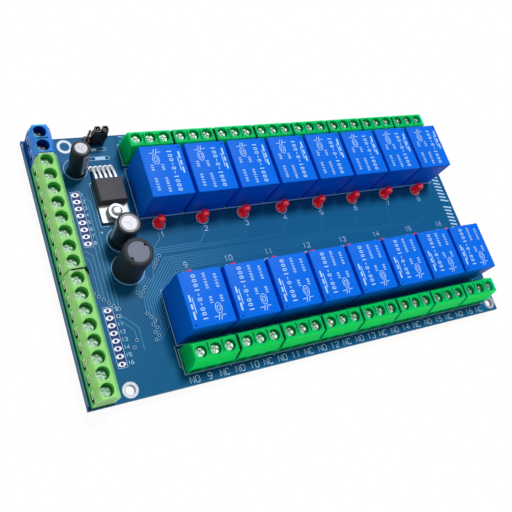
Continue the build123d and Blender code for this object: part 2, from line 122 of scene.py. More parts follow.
class Slot(Enum):
    """The record's material slots."""

    BOARD = "board_blue"
    RELAY = "relay_blue"
    GREEN = "terminal_green"
    LIGHT_GREEN = "terminal_light_green"
    BLUE = "terminal_blue"
    STEEL = "plated_steel"
    CLAMP = "plated_clamp"
    TIN = "tinned_lead"
    LED = "led_red"
    CAN = "can_aluminium"
    SLEEVE = "sleeve_black"
    FERRITE = "ferrite_grey"
    EPOXY = "moulding_dark_grey"
    TAB = "tab_nickel"
    BLACK = "black_plastic"
    PIN = "pin_tinned"
    RESISTOR = "resistor_black"


# Node groups

# Name, kind, direction and default of each socket of the surface variation group
SURFACE_SOCKETS = (
    ("Colour", "NodeSocketColor", "INPUT", None),
    ("Roughness", "NodeSocketFloat", "INPUT", 0.4),
    ("Grain Scale", "NodeSocketFloat", "INPUT", 2500.0),
    ("Mottle", "NodeSocketFloat", "INPUT", 0.06),
    ("Gloss Spread", "NodeSocketFloat", "INPUT", 0.08),
    ("Colour", "NodeSocketColor", "OUTPUT", None),
    ("Roughness", "NodeSocketFloat", "OUTPUT", None),
    ("Height", "NodeSocketFloat", "OUTPUT", None),
)


def wire(tree: NodeTree, value: object, target: NodeSocket) -> None:
    """Links a socket to an input, or sets the input to a plain value.

    Args:
        tree: The node tree.
        value: A socket, a number or a colour.
        target: The input.
    """
    if isinstance(value, NodeSocket):
        tree.links.new(value, target)
    else:
        target.default_value = value


def math_node(tree: NodeTree, operation: str, *values: object) -> NodeSocket:
    """Adds a Math node and wires or sets its inputs.

    Args:
        tree: The node tree.
        operation: The node's operation, such as MULTIPLY.
        values: A socket or a number for each input.

    Returns:
        The node's output socket.
    """
    node = tree.nodes.new("ShaderNodeMath")
    node.operation = operation
    for value, target in zip(values, node.inputs):
        wire(tree, value, target)
    return node.outputs[0]


def blend_node(
    tree: NodeTree, mode: str, share: object, first: object, second: object
) -> NodeSocket:
    """Adds a Mix node for colours.

    Args:
        tree: The node tree.
        mode: How it blends them, such as MULTIPLY.
        share: A socket or a number: how much of the second it takes.
        first: A colour or its socket.
        second: A colour or its socket.

    Returns:
        The mixed colour's socket.
    """
    node = tree.nodes.new("ShaderNodeMix")
    node.data_type = "RGBA"
    node.blend_type = mode
    for name, value in (("Factor", share), ("A", first), ("B", second)):
        wire(tree, value, node.inputs[name])
    return node.outputs["Result"]


def seen_directly(tree: NodeTree) -> NodeSocket:
    """Tells the rays that a viewer sees by from those that only carry light.

    Args:
        tree: The node tree.

    Returns:
        A socket: 1 for camera, glossy and transmission rays, else 0.
    """
    path = tree.nodes.new("ShaderNodeLightPath")
    seen = math_node(tree, "MAXIMUM", path.outputs["Is Camera Ray"], path.outputs["Is Glossy Ray"])
    return math_node(tree, "MAXIMUM", seen, path.outputs["Is Transmission Ray"])


def noise_node(
    tree: NodeTree, vector: NodeSocket, scale: object, detail: float = 3.0
) -> NodeSocket:
    """Adds a Noise Texture on a vector socket.

    Args:
        tree: The node tree.
        vector: The coordinates' socket.
        scale: A socket or a number for the pattern's fineness.
        detail: How many finer layers it has.

    Returns:
        The value's output socket.
    """
    node = tree.nodes.new("ShaderNodeTexNoise")
    for name, value in (("Detail", detail), ("Vector", vector), ("Scale", scale)):
        wire(tree, value, node.inputs[name])
    return node.outputs["Fac"]


def surface_group() -> NodeTree:
    """Builds the group that gives a finish its mottle, its uneven gloss and its grain.

    A broad and a fine noise, each less a half, are added up. The colour is multiplied by one
    plus the sum times the mottle, and the roughness grows by the sum times the gloss spread.

    Returns:
        The node group: Colour, Roughness and Height change over the surface.
    """
    group = bpy.data.node_groups.new("surface_variation", "ShaderNodeTree")
    for name, kind, direction, default in SURFACE_SOCKETS:
        socket = group.interface.new_socket(name=name, in_out=direction, socket_type=kind)
        if default is not None:
            socket.default_value = default
    inside = group.nodes.new("NodeGroupInput").outputs
    out = group.nodes.new("NodeGroupOutput").inputs
    place = group.nodes.new("ShaderNodeTexCoord").outputs["Object"]
    grain = noise_node(group, place, inside["Grain Scale"])
    broad = noise_node(group, place, BROAD_NOISE, 2.0)
    spread = math_node(group, "SUBTRACT", broad, 0.5)
    both = math_node(group, "ADD", spread, math_node(group, "SUBTRACT", grain, 0.5))
    shade = math_node(group, "MULTIPLY_ADD", both, inside["Mottle"], 1.0)
    wire(group, blend_node(group, "MULTIPLY", 1.0, inside["Colour"], shade), out["Colour"])
    rough = math_node(group, "MULTIPLY_ADD", both, inside["Gloss Spread"], inside["Roughness"])
    wire(group, rough, out["Roughness"])
    wire(group, grain, out["Height"])
    return group


def linear(colour: Sequence[float]) -> tuple[float, float, float, float]:
    """Turns a display colour of 0 to 255 into a linear one.

    Args:
        colour: Red, green and blue as they are seen.

    Returns:
        Linear red, green and blue, and an alpha of 1.
    """
    share = np.asarray(colour, float) / 255.0
    low = share / 12.92
    high = ((share + 0.055) / 1.055) ** 2.4
    return (*np.where(share <= 0.04045, low, high).tolist(), 1.0)


@dataclass(frozen=True)
class Finish:
    """How one material looks: its colour, its gloss and the grain of its surface."""

    name: str
    slot: Slot
    kind: Kind
    colour: Triple
    roughness: float = 0.35
    specular: float = 0.3
    grain_scale: float = 2500.0
    grain_depth: float = 0.02
    mottle: float = 0.06
    gloss_spread: float = 0.08
    coat: float = 0.0
    scatter: float = 0.0
    glow: float = 0.0
    fades_to: Triple | None = None

    def material(self, group: NodeTree) -> Material:
        """Builds the material.

        Args:
            group: The surface variation group.

        Returns:
            The new material.
        """
        material = bpy.data.materials.new(self.name)
        material.use_nodes = True
        tree = material.node_tree
        shader = tree.nodes["Principled BSDF"]
        vary = tree.nodes.new("ShaderNodeGroup")
        vary.node_tree = group
        bump = tree.nodes.new("ShaderNodeBump")
        varied = {
            "Colour": self.fade(tree) if self.fades_to else linear(self.colour),
            "Roughness": self.roughness,
            "Grain Scale": self.grain_scale,
            "Mottle": self.mottle,
            "Gloss Spread": self.gloss_spread,
        }
        bumped = {"Strength": 0.5, "Distance": self.grain_depth * MM, "Height": vary.outputs["Height"]}
        shaded = {
            "Base Color": vary.outputs["Colour"],
            "Roughness": vary.outputs["Roughness"],
            "Normal": bump.outputs["Normal"],
            "Metallic": 1.0 if self.kind is Kind.METAL else 0.0,
            "Specular IOR Level": self.specular,
            "Coat Weight": self.coat,
            "Coat Roughness": COAT_ROUGHNESS,
            "Subsurface Weight": self.scatter,
            "Subsurface Radius": (1.0, 1.0, 1.0),
            "Subsurface Scale": SCATTER_REACH * MM,
            "Emission Color": linear(self.colour),
            "Emission Strength": self.glow,
        }
        for node, settings in ((vary, varied), (bump, bumped), (shader, shaded)):
            for name, value in settings.items():
                wire(tree, value, node.inputs[name])
        return material

    def fade(self, tree: NodeTree) -> NodeSocket:
        """Blends the colour along the board: FADE_SPAN gives where it starts and ends to change.

        Args:
            tree: The material's node tree.

        Returns:
            The blended colour's socket.
        """
        split = tree.nodes.new("ShaderNodeSeparateXYZ")
        wire(tree, tree.nodes.new("ShaderNodeTexCoord").outputs["Object"], split.inputs[0])
        share = tree.nodes.new("ShaderNodeMapRange")
        for name, x in zip(("From Min", "From Max"), FADE_SPAN):
            share.inputs[name].default_value = (x - BOARD_LENGTH / 2) * MM
        wire(tree, split.outputs["X"], share.inputs["Value"])
        return blend_node(tree, "MIX", share.outputs["Result"], linear(self.colour), linear(self.fades_to))


# After the colour: roughness, specular, grain scale, grain depth, mottle and gloss spread
FINISHES = (
    Finish("mask_blue", Slot.BOARD, Kind.FILM, (16, 89, 134), 0.3, 0.025, 900.0, 0.01, 0.1, 0.06),
    Finish("mask_over_copper", Slot.BOARD, Kind.FILM, (62, 134, 178), 0.3, 0.04, 1500.0, 0.01,
           fades_to=(28, 101, 146)),
    Finish("mask_over_plane", Slot.BOARD, Kind.FILM, (22, 96, 140), 0.3, 0.03, 900.0, 0.01),
    Finish("mask_shade", Slot.BOARD, Kind.FILM, (26, 52, 112), 0.3, 0.03, 900.0, 0.01),
    Finish("via_tented", Slot.BOARD, Kind.FILM, (140, 182, 212), 0.4, 0.1, 1800.0, 0.01),
    # The print glows a little as painted light, to lift it where it lies in shade.
    Finish("print_white", Slot.BOARD, Kind.FILM, (156, 192, 222), 0.6, 0.1, 4000.0, 0.01, glow=0.2),
    Finish("pad_tin", Slot.TIN, Kind.METAL, (152, 154, 160), 0.55, 0.5, 1800.0, 0.03),
    Finish("plated_ring", Slot.TIN, Kind.METAL, (136, 141, 149), 0.55, 0.5, 1800.0, 0.03),
    Finish("solder", Slot.TIN, Kind.METAL, (190, 192, 196), 0.5, 0.5, 1500.0, 0.05),
    # Near-black for the legends' dots, and painted shade in the vias' mouths and the pads' holes.
    Finish("dark_dots_and_hole_shade", Slot.BOARD, Kind.FILM, (16, 12, 20), 0.7, 0.02),
    Finish("relay_case", Slot.RELAY, Kind.PLASTIC, (0, 103, 224), 0.42, 0.05, 5200.0, 0.02, 0.05),
    Finish("relay_vent", Slot.RELAY, Kind.PLASTIC, (0, 34, 104), 0.6, 0.05),
    Finish("relay_print", Slot.RELAY, Kind.FILM, (172, 210, 248), 0.6, 0.1),
    # Each terminal plastic comes in three copies: the body; a slope copy, lighter as painted light (the green one also
    # glows, the blue one is unchanged); and a deep copy for wells, grooves and wire faces, darker as painted shade (the
    # green one glows a little as painted light).
    Finish("terminal_green", Slot.GREEN, Kind.PLASTIC, (0, 188, 86), 0.4, 0.04, 3600.0, scatter=0.8),
    Finish("terminal_green_slope", Slot.GREEN, Kind.PLASTIC, (0, 234, 90), 0.4, 0.03, 3600.0, scatter=0.9, glow=0.12),
    Finish("terminal_green_deep", Slot.GREEN, Kind.PLASTIC, (0, 138, 62), 0.5, 0.03, 3600.0, scatter=0.8, glow=0.14),
    Finish("terminal_light", Slot.LIGHT_GREEN, Kind.PLASTIC, (142, 222, 120), 0.4, 0.05, 3600.0, scatter=0.8),
    Finish("terminal_light_slope", Slot.LIGHT_GREEN, Kind.PLASTIC, (146, 232, 114), 0.4, 0.05, 3600.0, scatter=0.8),
    Finish("terminal_light_deep", Slot.LIGHT_GREEN, Kind.PLASTIC, (88, 200, 94), 0.5, 0.03, 3600.0),
    Finish("terminal_blue", Slot.BLUE, Kind.PLASTIC, (24, 122, 230), 0.36, 0.06, 3600.0, scatter=0.6),
    Finish("terminal_blue_slope", Slot.BLUE, Kind.PLASTIC, (24, 122, 230), 0.36, 0.06, 3600.0, scatter=0.6),
    Finish("terminal_blue_deep", Slot.BLUE, Kind.PLASTIC, (0, 64, 160), 0.5, 0.03, 3600.0),
    # Painted shade: dark sheets put in the gaps between housings and at their feet, where only shade falls.
    Finish("seam_painted_shade", Slot.GREEN, Kind.PLASTIC, (0, 40, 24), 0.7, 0.02),
    # One screw finish in three copies: the output screws plain, the input screws a paler non-metal copy as painted
    # light, and the power screws a darker, bluer copy as painted shade.
    Finish("screw_zinc", Slot.STEEL, Kind.METAL, (110, 134, 118), 0.42, 0.5, 1600.0, 0.1, 0.35, 0.15),
    Finish("screw_sunk_painted_light", Slot.STEEL, Kind.CERAMIC, (126, 176, 138), 0.34, 0.5, 1600.0, 0.08, 0.3, 0.15),
    Finish("screw_shaded", Slot.STEEL, Kind.CERAMIC, (66, 92, 122), 0.34, 0.5, 1600.0, 0.08, 0.3, 0.15),
    # One plated clamp in three copies: the input clamps lightened and tinted green after their housing, and the power
    # clamps tinted blue, as painted light; the output clamps darkened as painted shade.
    Finish("clamp_nickel_painted_light", Slot.CLAMP, Kind.CERAMIC, (214, 246, 196), 0.5, 0.4, 1600.0, 0.05, 0.2),
    Finish("clamp_cool_painted_light", Slot.CLAMP, Kind.CERAMIC, (150, 178, 228), 0.5, 0.4, 1600.0, 0.05, 0.2),
    Finish("clamp_painted_shade", Slot.CLAMP, Kind.METAL, (70, 78, 72), 0.5, 0.5, 1600.0, 0.05, 0.2),
    Finish("tinned_leg", Slot.TIN, Kind.METAL, (196, 198, 204), 0.6, 0.5, 1600.0, 0.03),
    # The unlit lenses glow a little as painted light.
    Finish("led_lens", Slot.LED, Kind.PLASTIC, (236, 6, 22), 0.14, 0.5, 1200.0, 0.005, 0.12, 0.04,
           coat=0.5, scatter=0.6, glow=0.2),
    Finish("can_bright", Slot.CAN, Kind.METAL, (142, 143, 148), 0.55, 0.5, 2200.0, 0.03),
    # The vent lines are darker than the top: painted shade in the pressed lines.
    Finish("can_score_painted_shade", Slot.CAN, Kind.METAL, (126, 127, 132), 0.55, 0.5, 2200.0, 0.03),
    Finish("sleeve_black", Slot.SLEEVE, Kind.PLASTIC, (32, 35, 46), 0.34, 0.25, 1500.0, 0.02, 0.2, coat=0.05),
    Finish("sleeve_stripe", Slot.SLEEVE, Kind.PLASTIC, (176, 176, 190), 0.34, 0.3, 1500.0, coat=0.1),
    Finish("tube_black", Slot.SLEEVE, Kind.PLASTIC, (46, 50, 58), 0.5, 0.12, 1500.0, 0.02, 0.2),
    Finish("ferrite", Slot.FERRITE, Kind.CERAMIC, (112, 120, 136), 0.72, 0.2, 2600.0, 0.08, 0.22),
    Finish("moulding", Slot.EPOXY, Kind.PLASTIC, (70, 69, 74), 0.62, 0.22, 4200.0, 0.05, 0.12),
    Finish("tab_bright", Slot.TAB, Kind.METAL, (160, 162, 165), 0.55, 0.5, 1400.0, 0.04, 0.12),
    Finish("header_black", Slot.BLACK, Kind.PLASTIC, (20, 21, 25), 0.4, 0.2, 3600.0, 0.03),
    # The cap's collars are a lighter grey than its body: a painted highlight on one black plastic.
    Finish("jumper_rim_painted_highlight", Slot.BLACK, Kind.PLASTIC, (50, 51, 56), 0.34, 0.3, 3600.0, 0.03),
    Finish("pin_plated", Slot.PIN, Kind.METAL, (110, 108, 104), 0.4, 0.5, 1600.0),
    Finish("resistor_glaze", Slot.RESISTOR, Kind.CERAMIC, (24, 24, 28), 0.25, 0.4, 2000.0, coat=0.2),
)


# Surfaces


def lattice(rows: int, columns: int, wrap: bool = False, wrap_rows: bool = False) -> Array:
    """Gives the four-cornered faces of a grid of points, row by row.

    Args:
        rows: How many rows of points there are.
        columns: How many points each row has.
        wrap: Whether the last column joins the first.
        wrap_rows: Whether the last row joins the first.

    Returns:
        One row of four point numbers for each face.
    """
    down = np.arange(rows if wrap_rows else rows - 1)[:, None]
    across = np.arange(columns if wrap else columns - 1)[None, :]
    below = (down + 1) % rows
    right = (across + 1) % columns
    corners = [down * columns + across, down * columns + right, below * columns + right, below * columns + across]
    return np.stack(np.broadcast_arrays(*corners), -1).reshape(-1, 4)


class Shell:
    """A mesh under construction: blocks of points, and faces that count through them all."""

    def __init__(self) -> None:
        """Starts with no points and no faces."""
        self.points: list[Array] = []
        self.faces: list[Array] = []
        self.size = 0

    def add(self, points: Array, *faces: Array) -> "Shell":
        """Adds points and the faces between them.

        Args:
            points: The points, in any shape that ends in three coordinates.
            faces: Blocks of faces, each with one number of corners.

        Returns:
            The shell itself.
        """
        flat = np.asarray(points, float).reshape(-1, 3)
        self.faces += [np.atleast_2d(block) + self.size for block in faces]
        self.points.append(flat)
        self.size += len(flat)
        return self

    def grid(self, points: Array, wrap: bool = False, wrap_rows: bool = False) -> "Shell":
        """Adds a surface given as rows of points.

        Args:
            points: Rows by columns by three coordinates.
            wrap: Whether each row is a closed loop.
            wrap_rows: Whether the last row joins the first.

        Returns:
            The shell itself.
        """
        return self.add(points, lattice(points.shape[0], points.shape[1], wrap, wrap_rows))

    def stack(self, loops: Sequence[Array], first: bool = True, last: bool = True) -> "Shell":
        """Adds the surface through closed loops of equal length, with its ends capped.

        Args:
            loops: The loops, each anticlockwise as seen from the last one's side.
            first: Whether the first loop gets a cap.
            last: Whether the last loop gets a cap.

        Returns:
            The shell itself.
        """
        points = np.stack(loops)
        rows, columns = points.shape[:2]
        blocks = [lattice(rows, columns, True)]
        if first:
            blocks.append(np.arange(columns)[::-1])
        if last:
            blocks.append((rows - 1) * columns + np.arange(columns))
        return self.add(points, *blocks)

    def join(self, *others: "Shell") -> "Shell":
        """Adds whole shells.

        Args:
            others: The shells to add.

        Returns:
            The shell itself.
        """
        for other in others:
            self.add(np.concatenate(other.points), *other.faces)
        return self

    def copies(self, places: Iterable["Place"]) -> "Shell":
        """Gives a new shell with one copy of this one at each place.

        Args:
            places: Where the copies go.

        Returns:
            The new shell.
        """
        points = np.concatenate(self.points)
        result = Shell()
        for place in places:
            result.add(place.put(points), *self.faces)
        return result


@dataclass(frozen=True)
class Place:
    """A place on the board: a shift, after a turn about the vertical axis."""

    x: float
    y: float
    z: float = 0.0
    turn: float = 0.0
    flipped: bool = False

    def put(self, points: Array) -> Array:
        """Turns and moves points to the place; a flipped place has its own top downwards.

        Args:
            points: Points that end in three coordinates.

        Returns:
            The moved points.
        """
        x, y, z = np.moveaxis(np.asarray(points, float), -1, 0)
        if self.flipped:
            y, z = -y, -z
        c, s = np.cos(self.turn), np.sin(self.turn)
        return np.stack([self.x + c * x - s * y, self.y + s * x + c * y, self.z + z], -1)

    def then(self, x: float, y: float, z: float = 0.0, turn: float = 0.0) -> "Place":
        """Gives the place at x, y, z in this one's own directions, turned further as seen from its own top."""
        shifted = self.put(np.array([x, y, z])).tolist()
        return Place(*shifted, self.turn + (-turn if self.flipped else turn), self.flipped)


def at(points: Array, height: float) -> Array:
    """Lifts flat points to a height."""
    return np.concatenate([points, np.full((len(points), 1), height)], -1)


def unit(angle: Array) -> Array:
    """Gives flat points on the unit circle: the cosine and the sine of each angle."""
    return np.stack([np.cos(angle), np.sin(angle)], -1)


def circle(radius: float, count: int, start: float = 0.0) -> Array:
    """Gives points on a circle, anticlockwise: radius times the cosine and sine of equal angles."""
    return radius * unit(start + 2 * pi * np.arange(count) / count)


def row(count: int, pitch: float, x: float = 0.0, y: float = 0.0) -> list[Place]:
    """Gives places at equal steps along X, whose middle is at x, y."""
    return [Place(x + (index - (count - 1) / 2) * pitch, y) for index in range(count)]


def box_path(left: float, low: float, right: float, high: float) -> list[Point]:
    """Gives the path round a box, from one corner and back to it."""
    return [(left, low), (right, low), (right, high), (left, high), (left, low)]


def rounded(width: float, depth: float, radius: float, steps: int = 4) -> Array:
    """Gives a rectangle whose corners are quarter circles, anticlockwise.

    Args:
        width: Its size along X.
        depth: Its size along Y.
        radius: The corners' radius.
        steps: Points in each corner.

    Returns:
        The flat points.
    """
    quadrant = np.repeat(np.arange(4), steps)
    angle = quadrant * pi / 2 + np.tile(np.linspace(0, pi / 2, steps), 4)
    centre = np.sign(unit(quadrant * pi / 2 + pi / 4)) * (np.array([width, depth]) / 2 - radius)
    return centre + radius * unit(angle)


def moulded(
    width: float, depth: float, low: float, high: float,
    corner: float = 0.3, edge: float = 0.25, draft: float = 0.0, foot: float = 0.0,
) -> Shell:
    """Builds a block with rounded corners, a rounded rim and drafted sides.

    The rim is a quarter circle: each loop is drawn in by the edge times one less the cosine.

    Args:
        width: Its size along X.
        depth: Its size along Y.
        low: The height of its foot.
        high: The height of its top.
        corner: The radius of its upright edges.
        edge: The radius of its rim.
        draft: How far the sides lean in over their height.
        foot: A chamfer round the foot.

    Returns:
        The shell.
    """
    swing = np.linspace(0, pi / 2, 4)
    inset = np.concatenate([[foot, 0.0], draft + edge * (1 - np.cos(swing))])
    height = np.concatenate([[low, low + foot], high - edge * (1 - np.sin(swing))])
    if foot == 0.0:
        inset, height = inset[1:], height[1:]
    sizes = [(width - 2 * i, depth - 2 * i, max(corner - i * 0.8, 0.02)) for i in inset]
    return Shell().stack([at(rounded(*size), h) for size, h in zip(sizes, height)])


def revolved(profile: Sequence[Point], count: int = 32) -> Shell:
    """Turns a profile of (radius, height) points about the vertical axis.

    Args:
        profile: The points, from the foot to the top.
        count: Points round the axis.

    Returns:
        The shell, with its ends capped.
    """
    return Shell().stack([at(circle(radius, count), height) for radius, height in profile])


def arc(radius: float, height: float, size: float, start: float, end: float, steps: int = 5) -> list:
    """Gives (radius, height) points of a profile's arc.

    Args:
        radius: The arc centre's distance from the axis.
        height: The arc centre's height.
        size: The arc's radius.
        start: Its first angle, in degrees from outwards.
        end: Its last angle.
        steps: How many points it has.

    Returns:
        The points.
    """
    angle = np.radians(np.linspace(start, end, steps))
    return list(zip(radius + size * np.cos(angle), height + size * np.sin(angle)))


def ribbon(path: Sequence[Point], width: float, low: float, high: float) -> Shell:
    """Carries a flat strip along a path in the plane, with mitred turns.

    Each point moves sideways by half the width along the mean of its two runs' normals,
    lengthened so that the runs keep their width.

    Args:
        path: The points of the strip's middle line.
        width: Its width.
        low: The height of its underside.
        high: The height of its top.

    Returns:
        The closed strip.
    """
    points = np.asarray(path, float)
    runs = np.diff(points, axis=0)
    runs /= np.linalg.norm(runs, axis=1, keepdims=True)
    before = np.concatenate([runs[:1], runs])
    after = np.concatenate([runs, runs[-1:]])
    mean = before + after
    mean /= np.linalg.norm(mean, axis=1, keepdims=True)
    side = np.stack([-mean[:, 1], mean[:, 0]], -1)
    stretch = 1 / np.clip((mean * before).sum(1, keepdims=True), 0.5, 1.0)
    left, right = points + side * stretch * width / 2, points - side * stretch * width / 2
    rings = np.stack([at(right, low), at(left, low), at(left, high), at(right, high)], 1)
    count = len(points)
    ends = [np.arange(4), (count - 1) * 4 + np.arange(4)[::-1]]
    return Shell().add(rings, lattice(count, 4, True)[:, ::-1], *ends)


def washer(outer: Array, inner: Array, low: float, high: float) -> Shell:
    """Builds a flat ring between two loops.

    Args:
        outer: The outer edge's flat points, anticlockwise.
        inner: The inner edge's, as many.
        low: The height of its underside.
        high: The height of its top.

    Returns:
        The closed ring.
    """
    loops = [at(outer, low), at(outer, high), at(inner, high), at(inner, low)]
    return Shell().grid(np.stack(loops), True, True)


def closed_ribbon(loop: Array, width: float, low: float, high: float) -> Shell:
    """Carries a flat strip round a closed loop: its edges are the loop drawn in and out.

    Args:
        loop: The loop's flat points, anticlockwise.
        width: The strip's width.
        low: The height of its underside.
        high: The height of its top.

    Returns:
        The closed strip.
    """
    way = np.roll(loop, -1, 0) - np.roll(loop, 1, 0)
    way /= np.linalg.norm(way, axis=1, keepdims=True)
    out = np.stack([way[:, 1], -way[:, 0]], -1) * width / 2
    return washer(loop + out, loop - out, low, high)


def slab(width: float, depth: float, low: float, high: float, x: float = 0.0, y: float = 0.0) -> Shell:
    """Builds a plain small plate about x, y."""
    loop = np.array([[-1, -1], [1, -1], [1, 1], [-1, 1]]) * np.array([width, depth]) / 2 + np.array([x, y])
    return Shell().stack([at(loop, low), at(loop, high)])


def smoothed(path: Array, rounds: int = 2) -> Array:
    """Rounds a path's corners: each round puts two points on each run, a quarter from its ends.

    Args:
        path: The path's points.
        rounds: How often its corners are cut.

    Returns:
        The new points.
    """
    points = np.asarray(path, float)
    for _ in range(rounds):
        ends = points[:1], points[-1:]
        near = 0.75 * points[:-1] + 0.25 * points[1:]
        far = 0.25 * points[:-1] + 0.75 * points[1:]
        points = np.concatenate([ends[0], np.stack([near, far], 1).reshape(-1, points.shape[1]), ends[1]])
    return points


def swept_bar(path: Array, width: float, thickness: float) -> Shell:
    """Carries a flat bar's section along a path in the YZ plane, square to the path.

    Args:
        path: Points of (y, z).
        width: The bar's size along X.
        thickness: Its size across the path.

    Returns:
        The closed bar.
    """
    points = np.asarray(path, float)
    way = np.gradient(points, axis=0)
    way /= np.linalg.norm(way, axis=1, keepdims=True)
    normal = np.stack([-way[:, 1], way[:, 0]], -1)
    section = rounded(width, thickness, 0.24 * thickness, 2)
    y = points[:, None, 0] + normal[:, None, 0] * section[None, :, 1]
    z = points[:, None, 1] + normal[:, None, 1] * section[None, :, 1]
    x = np.broadcast_to(section[None, :, 0], y.shape)
    return Shell().stack(list(np.stack([x, y, z], -1)))


# Making objects


def linked(name: str, data: ID) -> Object:
    """Makes an object of its data and puts it into the scene.

    Args:
        name: The object's name.
        data: Its mesh, light or camera.

    Returns:
        The new object.
    """
    item = bpy.data.objects.new(name, data)
    bpy.context.scene.collection.objects.link(item)
    return item


class Workshop:
    """Makes finished objects of shells and gives the solids their materials."""

    def __init__(self, frame: dict) -> None:
        """Builds every finish once.
        """
        self.nodes = frame["nodes"]
        group = surface_group()
        self.finishes = {finish.name: finish for finish in FINISHES}
        self.materials = {finish.name: finish.material(group) for finish in FINISHES}

    def make(
        self, name: str, parts: Sequence[tuple[str, Shell]], body: str = BOARD, replaces: Sequence[str] = (),
        smooth: float = 32.0, bevel: float = 0.0, weld: bool = True,
    ) -> None:
        """Makes one piece of shells in one or more finishes.

        Args:
            name: The piece's name.
            parts: Pairs of a finish's name and the shell that has it.
            body: The body that it rides on.
            replaces: The nodes that it stands for.
            smooth: The largest angle, in degrees, that is shaded smooth.
            bevel: The width of its rounded edges, in millimetres.
            weld: Whether its doubles are merged and its normals worked out again.
        """
        points, faces, slots = [], [], []
        size = 0
        for slot, (_, shell) in enumerate(parts):
            points += shell.points
            for block in shell.faces:
                faces += (block + size).tolist()
                slots += [slot] * len(block)
            size += shell.size
        place = (np.concatenate(points) + [-BOARD_LENGTH / 2, -LAYOUT_WIDTH / 2, TOP]) * MM
        mesh = bpy.data.meshes.new(name)
        mesh.from_pydata(place.tolist(), [], faces)
        mesh.polygons.foreach_set("material_index", slots)
        for finish, _ in parts:
            mesh.materials.append(self.materials[finish])
        if weld:
            self.weld(mesh)
        mesh.shade_smooth()
        mesh.set_sharp_from_angle(angle=radians(smooth))
        piece = linked(name, mesh)
        if bevel:
            modifier = piece.modifiers.new("rounded_edges", "BEVEL")
            modifier.width = bevel * MM
            modifier.segments = 2
            modifier.limit_method = "ANGLE"
            modifier.angle_limit = radians(smooth)
            modifier.harden_normals = True
        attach(piece, body)
        if replaces:
            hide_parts(*replaces)
        LOG.info("%s: %d faces on %s", name, len(mesh.polygons), body)

    @staticmethod
    def weld(mesh: Mesh) -> None:
        """Merges a mesh's doubles, drops faces with no area and turns its faces outwards.

        Args:
            mesh: The mesh, which is changed.
        """
        work = bmesh.new()
        work.from_mesh(mesh)
        bmesh.ops.remove_doubles(work, verts=work.verts, dist=WELD)
        bmesh.ops.dissolve_degenerate(work, dist=WELD / 2, edges=work.edges)
        bmesh.ops.recalc_face_normals(work, faces=work.faces)
        work.to_mesh(mesh)
        work.free()

    def dress(self, node: str, finish: str) -> None:
        """Gives a solid that stays as it is its finish.

        Args:
            node: The solid's name.
            finish: The finish's name.
        """
        mesh = self.nodes[node].data
        mesh.materials.clear()
        mesh.materials.append(self.materials[finish])
        LOG.info("%s: dressed in %s", node, finish)


def channel_places() -> dict[int, Place]:
    """Gives each channel's place by number: 1 to 8 along the back, turned half round, 9 to 16 along the front.

    Returns:
        The places in the order of their numbers.
    """
    centres = FIRST_CHANNEL + CHANNEL_PITCH * np.arange(CHANNELS_PER_ROW)
    places = {}
    for index, x in enumerate(centres.tolist()):
        places[index + 1] = Place(x, LAYOUT_WIDTH, turn=pi)
        places[index + 1 + CHANNELS_PER_ROW] = Place(x, 0.0)
    return dict(sorted(places.items()))


# Stroke figures, each a set of lines on a field 4 wide and 6 high
STROKES = {
    "0": [[(0, 1), (1, 0), (3, 0), (4, 1), (4, 5), (3, 6), (1, 6), (0, 5), (0, 1)]],
    "1": [[(1, 5), (2, 6), (2, 0)]],
    "2": [[(0, 5), (1, 6), (3, 6), (4, 5), (4, 4), (0, 0), (4, 0)]],
    "3": [[(0, 5), (1, 6), (3, 6), (4, 5), (4, 4), (3, 3), (4, 2), (4, 1), (3, 0), (1, 0), (0, 1)]],
    "4": [[(3, 0), (3, 6), (0, 2), (4, 2)]],
    "5": [[(4, 6), (0, 6), (0, 3.4), (3, 3.4), (4, 2.4), (4, 1), (3, 0), (1, 0), (0, 1)]],
    "6": [[(3.6, 6), (1.6, 6), (0, 3.6), (0, 1), (1, 0), (3, 0), (4, 1), (4, 2.4), (3, 3.4), (0, 3)]],
    "7": [[(0, 6), (4, 6), (1.4, 0)]],
    "8": [[(1, 3), (0, 4), (0, 5), (1, 6), (3, 6), (4, 5), (4, 4), (3, 3), (4, 2), (4, 1), (3, 0), (1, 0),
           (0, 1), (0, 2), (1, 3), (3, 3)]],
    "9": [[(0.4, 0), (2.4, 0), (4, 2.4), (4, 5), (3, 6), (1, 6), (0, 5), (0, 3.6), (1, 2.6), (4, 3)]],
    "N": [[(0, 0), (0, 6), (4, 0), (4, 6)]],
    "C": [[(4, 1), (3, 0), (1, 0), (0, 1), (0, 5), (1, 6), (3, 6), (4, 5)]],
    "+": [[(0, 3), (4, 3)], [(2, 1), (2, 5)]],
}
STROKES["O"] = STROKES["0"]


def figures(text: str, height: float, weight: float, low: float, high: float) -> Shell:
    """Draws plain figures with strokes, centred on the origin.

    Args:
        text: Characters that STROKES has, and spaces.
        height: Their height.
        weight: The strokes' width.
        low: The height of the print's underside.
        high: The height of its top.

    Returns:
        The print.
    """
    scale = height / 6
    advance = 5.6 * scale
    start = -(len(text) * advance - 1.6 * scale) / 2
    shell = Shell()
    for index, sign in enumerate(text):
        for stroke in STROKES.get(sign, []):
            path = np.array(stroke, float) * scale + [start + index * advance, -height / 2]
            shell.join(ribbon(path, weight, low, high))
    return shell


# Relays


